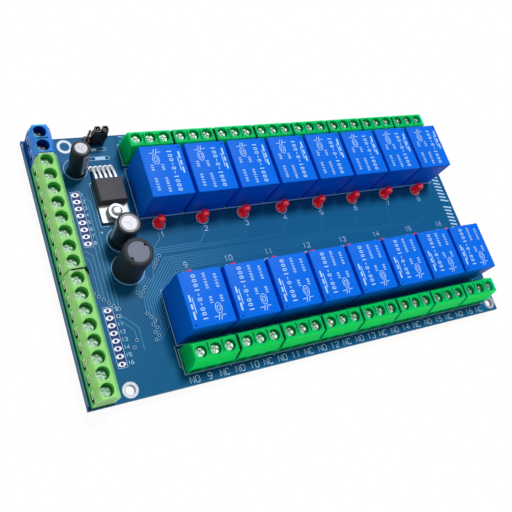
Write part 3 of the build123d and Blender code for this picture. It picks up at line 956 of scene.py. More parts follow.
@dataclass
class Relays:
    """The sixteen sealed relays, their vents and their printed marks."""

    width: float = 15.3
    depth: float = 19.0
    height: float = 15.3
    front: float = 13.5
    corner: float = 0.45
    rim: float = 0.3
    vent_inset: float = 1.2
    print_height: float = 0.02

    def case(self) -> Shell:
        """Builds one case about its own middle."""
        return moulded(self.width, self.depth, 0.0, self.height, self.corner, self.rim, 0.08)

    def vent(self) -> Shell:
        """Builds the sealed vent: a dark plug in one corner of the top."""
        profile = [(0.3, self.height), (0.3, self.height + 0.02), (0.24, self.height + 0.03), (0.0, self.height + 0.01)]
        return revolved(profile, 20).copies([Place(self.vent_inset - self.width / 2, self.vent_inset - self.depth / 2)])

    def bars(self, x: float, start: float, end: float, size: float, pattern: str) -> Shell:
        """Fills a line of print with plain shapes, run along the case.

        Args:
            x: The line's place across the case.
            start: Where it starts along the case.
            end: Where it ends.
            size: The line's height.
            pattern: An o for an open ring, an i for a bar and a dash for a short rule.

        Returns:
            The print.
        """
        low, high = self.height - 0.02, self.height + self.print_height
        cell = (end - start) / len(pattern)
        weight = 0.19 * size
        shell = Shell()
        for index, sign in enumerate(pattern):
            y = start + (index + 0.5) * cell
            if sign == "o":
                loop = rounded(size - weight, 0.66 * cell - weight, 0.24 * cell, 3)
                shell.join(closed_ribbon(loop + [x, y], weight, low, high))
            else:
                across, along = (size, weight * 1.2) if sign == "i" else (weight, 0.5 * cell)
                shell.join(slab(across, along, low, high, x, y))
        return shell

    def marks(self) -> Shell:
        """Prints the top with rings, bars and rules that say nothing.

        Returns:
            The print of one case.
        """
        low, high = self.height - 0.02, self.height + self.print_height
        shell = self.bars(-2.6, -7.6, 8.3, 1.7, "ioo-o-iooo")
        for x, start, end, pattern in ((1.05, -2.5, 0.1, "ioo"), (1.05, 2.5, 8.2, "oooioo"), (4.75, -2.6, 0.0, "ioo"),
                                       (4.75, 2.4, 7.4, "ooioo")):
            shell.join(self.bars(x, start, end, 1.15, pattern))
        oval = circle(1.0, 28) * [1.1, 1.75] + [2.75, -4.2]
        shell.join(closed_ribbon(oval, 0.22, low, high))
        shell.join(closed_ribbon(circle(0.55, 16) * [1.0, 1.6] + [2.75, -4.2], 0.22, low, high))
        for path in ([(0.4, -6.9), (2.0, -6.8)], [(3.0, -6.7), (4.6, -6.6)], [(1.7, -8.1), (2.4, -6.2)],
                     [(2.6, -8.1), (3.3, -6.2)]):
            shell.join(ribbon(path, 0.24, low, high))
        for x, start, end, weight in ((-5.9, -6.6, -3.9, 0.62), (-5.9, -3.2, -1.4, 0.62), (-5.9, -0.7, 1.6, 0.62),
                                      (-5.05, -4.6, 0.6, 0.3)):
            shell.join(slab(weight, end - start, low, high, x, (start + end) / 2))
        return shell

    def build(self, shop: Workshop) -> None:
        """Makes each relay, and the vents and marks of them all.

        Args:
            shop: What makes the objects.
        """
        case = self.case()
        middle = self.front + self.depth / 2
        places = {number: place.then(0.0, middle) for number, place in channel_places().items()}
        for number, place in places.items():
            shop.make(f"relay_case_{number}", [("relay_case", case.copies([place]))], replaces=[f"relay_{number}"])
        shop.make("relay_vents", [("relay_vent", self.vent().copies(places.values()))])
        shop.make("relay_marks", [("relay_print", self.marks().copies(places.values()))], weld=False)


# Screw terminals


@dataclass(frozen=True)
class HousingShape:
    """The sizes of one kind of terminal housing. The wire side is at y 0."""

    depth: float
    height: float
    front_foot: float
    front_slope: float
    back_foot: float
    back_slope: float
    end_wall: float
    pitch: float
    entry_width: float
    entry_floor: float
    entry_top: float
    entry_depth: float
    well_radius: float
    well_place: float
    groove_start: float
    groove_end: float
    grooved: bool
    groove_width: float = 0.42
    groove_depth: float = 0.6
    rim: float = 0.14
    across: int = 10


class Housing:
    """One moulded terminal housing, worked out as panels that share their edges."""

    def __init__(self, shape: HousingShape, ways: int) -> None:
        """Works out the housing's stations.

        Args:
            shape: The kind of housing.
            ways: How many wires it takes.
        """
        self.shape = shape
        self.ways = ways
        self.length = ways * shape.pitch + 2 * shape.end_wall
        self.centres = (np.arange(ways) - (ways - 1) / 2) * shape.pitch
        self.half = (shape.pitch - shape.groove_width) / 2
        self.front = np.linspace(0, shape.front_foot, 5)
        inner = np.linspace(shape.groove_start, shape.groove_end, 7)
        self.top = np.concatenate([[shape.front_slope], inner, [shape.depth - shape.back_slope]])

    @staticmethod
    def band(xs: Array, chain: Array) -> Shell:
        """Carries a chain of (y, z) points along X through the stations.

        Args:
            xs: The stations.
            chain: The points of (y, z).

        Returns:
            The surface.
        """
        xs = np.asarray(xs, float)
        x = np.broadcast_to(xs[:, None], (len(xs), len(chain)))
        yz = np.broadcast_to(chain[None], (len(xs), len(chain), 2))
        return Shell().grid(np.concatenate([x[..., None], yz], -1))

    def outline(self) -> Array:
        """Gives the whole section as a closed chain of (y, z) points.

        Returns:
            The chain, from the foot of the wire side over the top.
        """
        shape = self.shape
        face = np.stack([np.zeros(5), self.front], -1)
        crown = np.stack([self.top, np.full(len(self.top), shape.height)], -1)
        back = np.array([[shape.depth, shape.back_foot], [shape.depth, 0.0]])
        return np.concatenate([face, crown, back])

    @staticmethod
    def frame(xs: Array, ys: Array) -> Array:
        """Gives a rectangle's edge points from its stations along both ways, anticlockwise.

        Args:
            xs: The stations across.
            ys: The stations the other way.

        Returns:
            The flat points.
        """
        low = np.stack([xs[:-1], np.full(len(xs) - 1, ys[0])], -1)
        right = np.stack([np.full(len(ys) - 1, xs[-1]), ys[:-1]], -1)
        high = np.stack([xs[:0:-1], np.full(len(xs) - 1, ys[-1])], -1)
        left = np.stack([np.full(len(ys) - 1, xs[0]), ys[:0:-1]], -1)
        return np.concatenate([low, right, high, left])

    def crown_panel(self, centre: float, xs: Array) -> tuple[Shell, Shell]:
        """Builds a way's top, and its round well.

        The well's rim lies on the lines from its centre to the panel's edge points.

        Args:
            centre: The way's middle.
            xs: The stations across it.

        Returns:
            The top with its rim, and the well.
        """
        shape = self.shape
        outer = self.frame(xs, self.top)
        middle = np.array([centre, shape.well_place])
        way = outer - middle
        way /= np.linalg.norm(way, axis=1, keepdims=True)
        wall = middle + way * shape.well_radius
        rings = [at(outer, shape.height), at(wall + way * shape.rim, shape.height),
                 at(wall, shape.height - shape.rim), at(wall, shape.entry_top)]
        return Shell().stack(rings[:3], first=False, last=False), Shell().stack(rings[2:], first=False)

    def wire_panel(self, centre: float, xs: Array) -> Shell:
        """Builds a way's wire side with its square entry, whose edge is the panel's edge drawn in.

        Args:
            centre: The way's middle.
            xs: The stations across it.

        Returns:
            The face with its hollow.
        """
        shape = self.shape
        outer = self.frame(xs, self.front)
        share = (outer - [centre, 0.0]) / [2 * self.half, shape.front_foot]
        tall = shape.entry_top - shape.entry_floor
        mouth = share * [shape.entry_width, tall] + [centre, shape.entry_floor]
        swell = 1 + 2 * shape.rim / np.array([shape.entry_width, tall])
        lip = (mouth - [centre, shape.entry_floor + tall / 2]) * swell + [centre, shape.entry_floor + tall / 2]
        loops = [(outer, 0.0), (lip, 0.0), (mouth, shape.rim), (mouth, shape.entry_depth)]
        rings = [np.stack([flat[:, 0], np.full(len(flat), depth), flat[:, 1]], -1) for flat, depth in loops]
        return Shell().stack(rings, first=False)

    def groove(self, xs: Array) -> tuple[Shell, Shell]:
        """Builds the top between two ways, and its groove's floor and walls.

        Args:
            xs: The two stations at the groove's sides.

        Returns:
            The top, and the groove.
        """
        shape = self.shape
        cut = self.top[1:-1]
        floor = shape.height - shape.groove_depth
        flat, shell = Shell(), Shell()
        for run in (self.top[:2], self.top[-2:]):
            flat.join(self.band(xs, np.stack([run, np.full(2, shape.height)], -1)))
        shell.join(self.band(xs, np.stack([cut, np.full(len(cut), floor)], -1)))
        for y in (cut[0], cut[-1]):
            shell.join(self.band(xs, np.array([(y, floor), (y, shape.height)])))
        for x in xs:
            low = np.stack([np.full(len(cut), x), cut, np.full(len(cut), floor)], -1)
            high = low + [0, 0, shape.groove_depth]
            shell.grid(np.stack([low, high]))
        return flat, shell

    def build(self) -> list[Shell]:
        """Puts the panels together into one closed housing.

        Returns:
            Its body; its slope, for the copy of the finish with painted light; and its wells, grooves and wire faces,
            for the copy with painted shade.
        """
        # The slope panels take painted light and the deep panels take painted shade, each in its own copy of the
        # finish.
        shell, slope, deep = Shell(), Shell(), Shell()
        outline = self.outline()
        foot = len(self.front)
        face, crown, rise, back = outline[:foot], outline[foot:-2], outline[foot - 1:foot + 1], outline[[-3, -2, -1, 0]]
        half = self.length / 2
        edges = [-half]
        for centre in self.centres.tolist():
            xs = np.linspace(centre - self.half, centre + self.half, self.shape.across + 1)
            top, well = self.crown_panel(centre, xs)
            shell.join(top, self.band(xs, back))
            slope.join(self.band(xs, rise))
            deep.join(well, self.wire_panel(centre, xs))
            edges += [xs[0], xs[-1]]
        edges.append(half)
        for index, pair in enumerate(zip(edges[::2], edges[1::2])):
            xs = np.array(pair)
            upper = self.band(xs, crown)
            if self.shape.grooved and 0 < index < self.ways:
                upper, groove = self.groove(xs)
                deep.join(groove)
            shell.join(self.band(xs, face), upper, self.band(xs, back))
            slope.join(self.band(xs, rise))
        ends = np.stack([np.concatenate([np.full((len(outline), 1), x), outline], -1) for x in (-half, half)])
        count = len(outline)
        return [shell.add(ends, np.arange(count), count + np.arange(count)[::-1]), slope, deep]


def slotted_head(radius: float, low: float, high: float, slot: float, deep: float) -> Shell:
    """Builds a screw's head with a cross of two slots.

    The head is a disc with four sectors standing on it. A sector's edge is the circle between
    the angles where the slots' edges meet it, and its rim is drawn in to round it.

    Args:
        radius: The head's radius.
        low: The height of its underside.
        high: The height of its top.
        slot: The slots' width.
        deep: The slots' depth.

    Returns:
        The shell.
    """
    swing = np.arcsin(slot / 2 / radius)
    edge = radius * unit(np.linspace(swing, pi / 2 - swing, 9))
    edge = np.concatenate([edge, [[slot / 2, slot / 2]]])
    centre = edge.mean(0)
    sector = Shell().stack([
        at(edge, high - deep),
        at(edge, high - 0.12),
        at(centre + (edge - centre) * 0.93, high - 0.03),
        at(centre + (edge - centre) * 0.84, high),
    ])
    turned = sector.copies([Place(0, 0, turn=turn) for turn in (0, pi / 2, pi, 3 * pi / 2)])
    return revolved([(radius, low), (radius, high - deep)], 28).join(turned)


def clamp_cage(width: float, low: float, high: float, near: float, far: float) -> Shell:
    """Builds a wire clamp: a block with a mouth for the wire, open towards y 0.

    Args:
        width: Its size along X.
        low: The height of its foot.
        high: The height of its top.
        near: Where its face is.
        far: Where it ends.

    Returns:
        The closed shell.
    """
    tall = high - low
    square = np.array([[-1, -1], [1, -1], [1, 1], [-1, 1]])
    outer = square * [width / 2, tall / 2]
    mouth = square * [width * 0.37, tall * 0.3] + [0, -tall * 0.02]
    loops = [(outer, far), (outer, near), (mouth, near), (mouth * 0.94, near + 0.72 * (far - near))]
    middle = (low + high) / 2
    rings = [np.stack([flat[:, 0], np.full(4, y), flat[:, 1] + middle], -1) for flat, y in loops]
    return Shell().stack(rings)


OUTPUT_SHAPE = HousingShape(
    depth=8.3, height=10.6, front_foot=4.9, front_slope=1.55, back_foot=6.4, back_slope=1.5, end_wall=0.13,
    pitch=OUTPUT_PITCH, entry_width=3.78, entry_floor=0.7, entry_top=4.5, entry_depth=6.5,
    well_radius=1.85, well_place=3.9, groove_start=2.6, groove_end=6.3, grooved=True,
)
INPUT_SHAPE = HousingShape(
    depth=7.2, height=10.6, front_foot=6.5, front_slope=0.95, back_foot=7.6, back_slope=1.7, end_wall=0.0,
    pitch=INPUT_PITCH, entry_width=3.8, entry_floor=2.6, entry_top=6.1, entry_depth=5.7,
    well_radius=2.05, well_place=2.9, groove_start=1.2, groove_end=5.1, grooved=False,
)


@dataclass
class Terminals:
    """Every screw terminal: the housings, their clamps and their screws."""

    output_shape: HousingShape = OUTPUT_SHAPE
    input_shape: HousingShape = INPUT_SHAPE
    power_shape: HousingShape = replace(INPUT_SHAPE, grooved=True)
    inset: float = 3.6
    input_face: float = 1.1
    bevel: float = 0.1
    slot_width: float = 0.36
    slot_depth: float = 0.3

    def input_places(self) -> dict[str, tuple[Place, int, HousingShape, str]]:
        """Gives each block's place down the left edge.

        Returns:
            Its place, its ways, its kind and its finish, by the node that it stands for.
        """
        kinds = ((self.power_shape, "terminal_blue"), (self.input_shape, "terminal_light"),
                 (self.input_shape, "terminal_light"))
        return {
            name: (Place(self.input_face, middle, turn=-pi / 2), ways, shape, finish)
            for (name, (middle, ways)), (shape, finish) in zip(INPUT_BLOCKS.items(), kinds)
        }

    @staticmethod
    def way_places(place: Place, ways: int, pitch: float) -> list[Place]:
        """Gives the place of each way of a terminal."""
        return [place.then(spot.x, 0.0) for spot in row(ways, pitch)]

    def screws(self, places: list[Place], shape: HousingShape, radius: float, top: float) -> Shell:
        """Builds the screws, each turned by chance about its own axis.

        Args:
            places: The ways' places.
            shape: The kind of housing that they stand in.
            radius: The heads' radius.
            top: The height of the heads' tops.

        Returns:
            The heads.
        """
        chance = np.random.default_rng(RANDOM_SEED)
        head = slotted_head(radius, shape.entry_top - 0.1, top, self.slot_width, self.slot_depth)
        turns = chance.uniform(-1.3, 1.3, len(places)).tolist()
        return head.copies([place.then(0.0, shape.well_place, 0.0, turn) for place, turn in zip(places, turns)])

    def make_housing(self, shop: Workshop, name: str, panels: list[Shell], place: Place, finish: str) -> None:
        """Makes one housing of its panels: its body, its slope in a copy lightened as painted light, and its hollows
        and wire faces in a copy darkened as painted shade.
        """
        parts = [(finish + shade, panel.copies([place])) for shade, panel in zip(("", "_slope", "_deep"), panels)]
        shop.make(f"{name}_housing", parts, replaces=[name], bevel=self.bevel)

    def seams(self, output_ways: list[Place]) -> Shell:
        """Builds dark sheets of painted shade: in the gaps between the housings, at the output ways' feet, and at the
        input ways' corners and under their mouths.

        Args:
            output_ways: The places of the output terminals' ways.

        Returns:
            The sheets of painted shade.
        """
        step = FIRST_CHANNEL + CHANNEL_PITCH * (np.arange(CHANNELS_PER_ROW - 1) + 0.5)
        deep, tall = self.output_shape.depth, self.output_shape.height
        section = np.array([(0.5, 0.1), (0.5, 4.6), (1.9, tall - 0.5), (deep - 1.7, tall - 0.5), (deep - 0.3, 6.2),
                            (deep - 0.3, 0.1)])
        width = (CHANNEL_PITCH - 3 * self.output_shape.pitch - 2 * self.output_shape.end_wall) / 2 + 0.05
        sides = [np.concatenate([np.full((len(section), 1), x), section], -1) for x in (-width, width)]
        gap_shade = Shell().stack(sides)
        places = [Place(x, self.inset) for x in step] + [Place(x, LAYOUT_WIDTH - self.inset, turn=pi) for x in step]
        shell = gap_shade.copies(places)
        shell.join(gap_shade.copies([Place(self.input_face, 40.52, turn=-pi / 2)]))
        foot = slab(3.3, 0.2, 0.02, 0.42, 0.0, 0.08)
        shell.join(foot.copies(output_ways))
        corner = slab(0.9, 0.2, 3.3, 4.6, -1.3)
        inputs = [place.then((index - ways / 2) * shape.pitch, 0.0)
                  for place, ways, shape, _ in self.input_places().values() for index in range(1, ways + 1)]
        return shell.join(corner.copies(inputs), slab(2.6, 0.12, 2.5, 2.8, -2.7).copies(inputs))

    def build(self, shop: Workshop) -> None:
        """Makes the housings, then the clamps and screws in them.

        Args:
            shop: What makes the objects.
        """
        housing = Housing(self.output_shape, 3).build()
        output_ways: list[Place] = []
        for number, place in channel_places().items():
            spot = place.then(0.0, self.inset)
            output_ways += self.way_places(spot, 3, self.output_shape.pitch)
            self.make_housing(shop, f"output_terminal_{number}", housing, spot, "terminal_green")
        input_ways: list[Place] = []
        power_ways: list[Place] = []
        for name, (place, ways, shape, finish) in self.input_places().items():
            rows = power_ways if shape is self.power_shape else input_ways
            rows += self.way_places(place, ways, shape.pitch)
            self.make_housing(shop, name, Housing(shape, ways).build(), place, finish)
        cage = clamp_cage(3.6, 2.8, 6.0, 0.1, 5.6)
        # The clamps wear copies of one plating: lightened as painted light in the input and power blocks, and darkened
        # as painted shade in the outputs.
        cages = [("clamp_painted_shade", clamp_cage(3.58, 0.7, 4.4, 1.2, 6.4).copies(output_ways)),
                 ("clamp_nickel_painted_light", cage.copies(input_ways)), ("clamp_cool_painted_light", cage.copies(power_ways))]
        shop.make("wire_cages", cages, replaces=["wire_clamps"], bevel=0.12)
        # Dark sheets of painted shade in the gaps and at the feet.
        shop.make("housing_painted_shade", [("seam_painted_shade", self.seams(output_ways))])
        heads = [("screw_zinc", self.screws(output_ways, self.output_shape, 1.45, 9.3))]
        shop.make("output_screw_heads", heads, replaces=["output_screws"])
        # The input heads wear the paler copy as painted light, and the power heads wear the darker copy as painted
        # shade.
        heads = [("screw_sunk_painted_light", self.screws(input_ways, self.input_shape, 1.75, 8.2)),
                 ("screw_shaded", self.screws(power_ways, self.power_shape, 1.6, 7.6))]
        shop.make("input_screw_heads", heads, replaces=["input_screws"])


# Status lights


@dataclass
class StatusLights:
    """The sixteen red LEDs."""

    radius: float = 1.5
    flange: float = 1.95
    flange_height: float = 0.9
    height: float = 5.3
    drift: float = 0.06

    def lens(self) -> Shell:
        """Turns the lens's profile: a flange, a straight side and a half-round tip.

        Returns:
            The lens.
        """
        tip = arc(0.0, self.height - self.radius, self.radius, 0, 90, 9)[:-1]
        profile = [(self.flange, 0.0), (self.flange, self.flange_height - 0.1), (self.flange - 0.1, self.flange_height)]
        profile += [(self.radius + 0.12, self.flange_height), (self.radius, self.flange_height + 0.15)]
        return revolved(profile + tip + [(0.0, self.height)], 28)

    def build(self, shop: Workshop) -> None:
        """Makes the lenses: along the front row, each stands a little further out than the last.

        Args:
            shop: What makes the objects.
        """
        steps = {number: max(0, number - CHANNELS_PER_ROW - 1) for number in channel_places()}
        places = [place.then(LIGHT_ACROSS, LIGHT_INWARD - self.drift * steps[number])
                  for number, place in channel_places().items()]
        shop.make("status_light_lenses", [("led_lens", self.lens().copies(places))], replaces=["status_leds"])


# Supply


@dataclass
class Capacitor:
    """One can in its shrunk sleeve."""

    x: float
    y: float
    radius: float
    height: float
    stripe: float
    lean: Point = (0.0, 0.0)
    lift: float = 0.4
    sides: int = 56

    @property
    def mouth(self) -> float:
        """The radius of the sleeve's open mouth, about two thirds of the can's."""
        return self.radius * 0.64

    def sleeve(self) -> Shell:
        """Turns the sleeve's profile: a bead near the foot, a straight wall and a lip folded in.

        Returns:
            The sleeve.
        """
        wall = self.radius
        turn = min(0.75, wall - self.mouth - 0.2)
        profile = [(wall - 0.5, self.lift), (wall - 0.1, self.lift + 0.1), (wall, self.lift + 0.5)]
        profile += [(wall, 1.5), (wall - 0.22, 1.9), (wall - 0.22, 2.1), (wall, 2.5)]
        profile += arc(wall - turn, self.height - turn, turn, 0, 90, 7)
        profile += [(self.mouth + 0.06, self.height - 0.03), (self.mouth, self.height - 0.12)]
        profile += [(self.mouth, self.height - 0.5)]
        return revolved(profile, self.sides)

    def crown(self) -> Shell:
        """Turns the can's bright top, a little below the sleeve's lip."""
        top = self.height - 0.14
        return revolved([(self.mouth, top - 0.4), (self.mouth, top), (0.0, top)], self.sides)

    def scores(self) -> Shell:
        """Marks the top's pressed vent lines, as low ridges from its middle, darker than the top as painted shade in
        the pressed lines.

        Returns:
            The ridges.
        """
        shell = Shell()
        reach = self.mouth * 0.8
        for angle in (0.75, 0.75 + 2 * pi / 3, 0.75 + 4 * pi / 3):
            end = (reach * np.cos(angle), reach * np.sin(angle))
            shell.join(ribbon([(0.0, 0.0), end], 0.16, self.height - 0.16, self.height - 0.11))
        return shell

    def band(self, spread: float, low: float, high: float, proud: float) -> Shell:
        """Lays a thin patch on the sleeve, centred on the stripe's side.

        Args:
            spread: How far it reaches to each side, in degrees.
            low: The height of its lower edge.
            high: The height of its upper edge.
            proud: How far it stands out of the sleeve.

        Returns:
            The closed patch.
        """
        count = 12
        ring = unit(self.stripe + np.radians(np.linspace(-spread, spread, count)))
        corners = ((-0.1, low), (proud, low), (proud, high), (-0.1, high))
        rows = np.stack([at(ring * (self.radius + out), height) for out, height in corners])
        ends = np.stack([np.arange(4)[::-1] * count, np.arange(4) * count + count - 1])
        return Shell().add(rows, lattice(4, count, False, True), ends)

    def build(self, shop: Workshop, name: str) -> None:
        """Makes the can and its sleeve as one piece.

        Args:
            shop: What makes the objects.
            name: The piece's name.
        """
        minus = Shell().join(*(self.band(6, height, height + 1.2, 0.05) for height in (4.0, 7.0, 10.0)))
        parts = [
            ("sleeve_black", self.sleeve()),
            ("can_bright", self.crown()),
            ("can_score_painted_shade", self.scores()),
            ("sleeve_stripe", self.band(22, 2.6, self.height - 0.8, 0.025)),
            ("sleeve_black", minus),
        ]
        spot = [Place(self.x, self.y)]
        leaning = [(finish, self.leaned(shell).copies(spot)) for finish, shell in parts]
        shop.make(name, leaning, replaces=["capacitor_cans", "capacitor_sleeves"])

    def leaned(self, shell: Shell) -> Shell:
        """Leans a shell about the can's middle by a small turn: each point moves by the turn times its arm.

        Args:
            shell: The shell, which is changed.

        Returns:
            The shell itself.
        """
        x, y, z = np.moveaxis(np.concatenate(shell.points), -1, 0)
        across, along = self.lean
        arm = z - self.height / 2
        shell.points = [np.stack([x + across * arm, y + along * arm, z - across * x - along * y], -1)]
        return shell


@dataclass
class Inductor:
    """The drum coil in its shrunk tube."""

    x: float = 23.6
    y: float = 41.8
    radius: float = 5.0
    height: float = 14.3
    mouth: float = 3.6
    notch: float = 0.6
    sides: int = 120

    def sleeve(self) -> Shell:
        """Turns the tube's profile, which bulges over the drum's flanges and folds in at the top.

        Returns:
            The tube.
        """
        profile = [(self.radius - 0.35, 0.0), (self.radius - 0.05, 0.35), (self.radius, 1.2)]
        profile += [(self.radius - 0.12, 2.6), (self.radius - 0.16, self.height / 2), (self.radius - 0.12, 11.6)]
        profile += [(self.radius, 12.4)] + arc(self.radius - 1.0, self.height - 1.0, 1.0, 0, 84, 8)
        profile += [(self.mouth + 0.04, self.height - 0.06), (self.mouth, self.height - 0.16)]
        profile += [(self.mouth, self.height - 1.0)]
        return revolved(profile, 56)

    def core(self) -> Shell:
        """Builds the drum's top: a disc whose radius dips by a half circle at two notches.

        Returns:
            The drum's top.
        """
        angle = 2 * pi * np.arange(self.sides) / self.sides
        away = np.abs((angle[:, None] - np.radians([38.0, -142.0]) + pi) % (2 * pi) - pi).min(1)
        dip = np.sqrt(np.clip(1 - (away * self.mouth / self.notch) ** 2, 0, 1)) * self.notch * 1.15
        way = circle(1.0, self.sides)
        loops = [at(way * (self.mouth - inset - dip)[:, None], self.height + height)
                 for inset, height in ((0.0, -0.95), (0.0, -0.3), (0.12, -0.2))]
        return Shell().stack([*loops, at(np.zeros((self.sides, 2)), self.height - 0.18)])

    def build(self, shop: Workshop) -> None:
        """Makes the coil as one piece.

        Args:
            shop: What makes the objects.
        """
        spot = [Place(self.x, self.y)]
        parts = [("tube_black", self.sleeve().copies(spot)), ("ferrite", self.core().copies(spot))]
        shop.make("inductor_coil", parts, replaces=["inductor_sleeve", "inductor_core"])


@dataclass
class Regulator:
    """The five-legged regulator that lies flat, with the screw and nut through its tab."""

    tab_end: float = 58.3
    width: float = 10.0
    tab_length: float = 6.3
    tab_thickness: float = 1.3
    hole: float = 2.8
    body_length: float = 9.1
    body_height: float = 4.5
    nut_flats: float = 5.5
    nut_height: float = 2.4

    def tab(self) -> Shell:
        """Builds the tab as a ring round its hole.

        Its outer edge is where lines from the hole's centre, at equal angles, meet the tab's edge.

        Returns:
            The closed tab.
        """
        length, hole = self.tab_length + 8.4, [0.0, self.hole]
        way = circle(1.0, 48, pi / 4)
        across, along = np.maximum(np.abs(way), 1e-9).T
        reach = np.minimum(self.width / 2 / across, np.where(way[:, 1] > 0, length - self.hole, self.hole) / along)
        outer, inner = way * reach[:, None] + hole, way * 1.85 + hole
        edge = outer - (outer - [0.0, length / 2]) * 0.012
        low, high = 0.0, self.tab_thickness
        rings = [at(outer, low), at(outer, high - 0.12), at(edge, high), at(inner, high), at(inner, low)]
        return Shell().grid(np.stack(rings), True, True)

    def body(self) -> Shell:
        """Builds the moulding, which leans in above its parting line.

        Returns:
            The moulding.
        """
        middle = self.tab_length + self.body_length / 2
        loops = []
        steps = ((0.25, 0.02), (0.0, 1.35), (0.0, 2.6), (0.32, 4.05), (0.55, 4.42), (0.8, self.body_height))
        for inset, height in steps:
            flat = rounded(self.width - 2 * inset, self.body_length - 1.4 * inset, 0.25, 3)
            loops.append(at(flat + [0.0, middle], height))
        return Shell().stack(loops)

    def legs(self) -> Shell:
        """Carries each leg out of the body, over its bend and down through the board.

        Returns:
            The legs.
        """
        back = self.tab_length + self.body_length
        path = [(back - 0.3, 2.6), (back + 1.6, 2.6), (back + 5.5, 1.0), (back + 5.7, 0.2), (back + 5.7, -4.2)]
        return swept_bar(smoothed(np.array(path)), 0.98, 0.5).copies(row(LEG_COUNT, LEG_PITCH))

    def nut(self) -> Shell:
        """Builds the nut: a hexagon whose corners are cut by a cone, with a round bore.

        The hexagon's reach at an angle is half its flats over the cosine of the angle from the nearest flat.

        Returns:
            The closed nut.
        """
        count = 48
        angle = 2 * pi * np.arange(count) / count
        way = unit(angle)
        bore = 1.56
        reach = self.nut_flats / 2 / np.cos((angle + pi / 6) % (pi / 3) - pi / 6)
        low, high = self.tab_thickness, self.tab_thickness + self.nut_height
        cone = np.minimum(reach, self.nut_flats / 2 + 0.02)
        drop = (reach - cone) * 0.8
        rings = [
            at(way * bore, low + 0.1),
            at(way * cone[:, None], low),
            np.concatenate([way * reach[:, None], (low + drop + 0.1)[:, None]], -1),
            np.concatenate([way * reach[:, None], (high - drop - 0.1)[:, None]], -1),
            at(way * cone[:, None] * 0.99, high),
            at(way * 1.9, high),
            at(way * bore, high - 0.3),
        ]
        return Shell().grid(np.stack(rings), True, True)

    def screw(self) -> Shell:
        """Turns the screw's end with its threads, and its head below the board.

        Returns:
            The screw.
        """
        top = self.tab_thickness + self.nut_height + 1.0
        profile = [(2.72, -3.6), (2.75, -3.5), (2.75, -1.7), (1.45, -1.62)]
        for step in range(14):
            height = -1.5 + 0.45 * step
            profile += [(1.5, height), (1.36, height + 0.22)]
        profile = [point for point in profile if point[1] < top - 0.4]
        profile += [(1.45, top - 0.35), (1.2, top - 0.08), (1.0, top), (0.0, top - 0.03)]
        return revolved(profile, 32)

    def build(self, shop: Workshop) -> None:
        """Makes the tab, body, legs, nut and screw.

        Args:
            shop: What makes the objects.
        """
        spot = [Place(REGULATOR_X, self.tab_end)]
        fixing = [Place(REGULATOR_X, self.tab_end + self.hole)]
        top = self.body_height
        mark = revolved([(0.55, top - 0.3), (0.55, top + 0.01), (0.45, top + 0.012), (0.0, top + 0.005)], 20)
        body = self.body().join(mark.copies([Place(3.1, self.tab_length + 1.6)]))
        shop.make("regulator_mounting_tab", [("tab_bright", self.tab().copies(spot))], replaces=["regulator_tab"])
        shop.make("regulator_moulding", [("moulding", body.copies(spot))], replaces=["regulator_body"], smooth=20.0)
        shop.make("regulator_formed_legs", [("tinned_leg", self.legs().copies(spot))], replaces=["regulator_legs"])
        shop.make("regulator_hex_nut", [("tab_bright", self.nut().copies(fixing))], replaces=["regulator_nut"])
        shop.make("regulator_threaded_screw", [("solder", self.screw().copies(fixing))],
                  replaces=["regulator_screw"])


@dataclass
class SupplySelector:
    """The three-pin header and the jumper cap on two of its pins."""

    base_height: float = 2.54
    pin: float = 0.64
    pin_top: float = 8.5
    cap_length: float = 5.0
    cap_width: float = 2.4
    cap_body: float = 4.2
    lift: float = 0.1
    collar: float = 2.0

    def base(self) -> Shell:
        """Builds the strip of three eight-sided segments.

        Returns:
            The strip.
        """
        loops = []
        for inset, height in ((0.0, 0.0), (0.0, self.base_height - 0.1), (0.1, self.base_height)):
            size = HEADER_PITCH - 2 * inset
            loops.append(at(rounded(size, size, 0.5, 2), height))
        return Shell().stack(loops).copies(row(3, HEADER_PITCH))

    def pins(self) -> Shell:
        """Builds the square pins with their pointed ends.

        Returns:
            The pins.
        """
        loops = []
        for size, height in ((0.3, -4.2), (self.pin, -3.8), (self.pin, self.pin_top - 0.5), (0.28, self.pin_top)):
            loops.append(at(circle(size / 2**0.5, 4, pi / 4), height))
        return Shell().stack(loops).copies(row(3, HEADER_PITCH))

    def collars(self) -> Shell:
        """Builds the cap's two open collars, which flare a little towards their rims.

        Returns:
            The collars.
        """
        low, top = self.cap_body - 0.05, self.cap_body + self.collar
        foot, outer, thin = rounded(1.9, 2.1, 0.4), rounded(2.1, 2.3, 0.5), rounded(1.95, 2.15, 0.45)
        wide, bore = rounded(1.55, 1.65, 0.35), rounded(1.35, 1.45, 0.3)
        rings = [at(foot, low), at(outer, top - 0.14), at(thin, top)]
        rings += [at(wide, top), at(bore, top - 0.14), at(bore, low)]
        return Shell().stack(rings, first=False).copies(row(2, 2.72))

    def cap(self) -> Shell:
        """Builds the cap's body below its collars, with the rib round it."""
        rib = moulded(self.cap_length + 0.14, self.cap_width + 0.14, 1.0, self.cap_body - 1.2, 0.35, 0.1, 0.0)
        return moulded(self.cap_length, self.cap_width, 0.0, self.cap_body, 0.35, 0.3, 0.05).join(rib)

    def build(self, shop: Workshop) -> None:
        """Makes the header on the board and the cap on its own body.

        Args:
            shop: What makes the objects.
        """
        x, y = HEADER_PLACE
        spot = [Place(x, y)]
        cap = [Place(x + HEADER_PITCH / 2, y, self.base_height + self.lift)]
        shop.make("header_strip", [("header_black", self.base().copies(spot))], replaces=["header_base"])
        shop.make("header_posts", [("pin_plated", self.pins().copies(spot))], replaces=["header_pins"])
        # The collars take the lighter grey of a painted highlight.
        parts = [("header_black", self.cap().copies(cap)), ("jumper_rim_painted_highlight", self.collars().copies(cap))]
        shop.make("jumper_moulding", parts, body=JUMPER, replaces=["jumper_cap"])
        shop.dress("jumper_contact", "pin_plated")


# Board surface


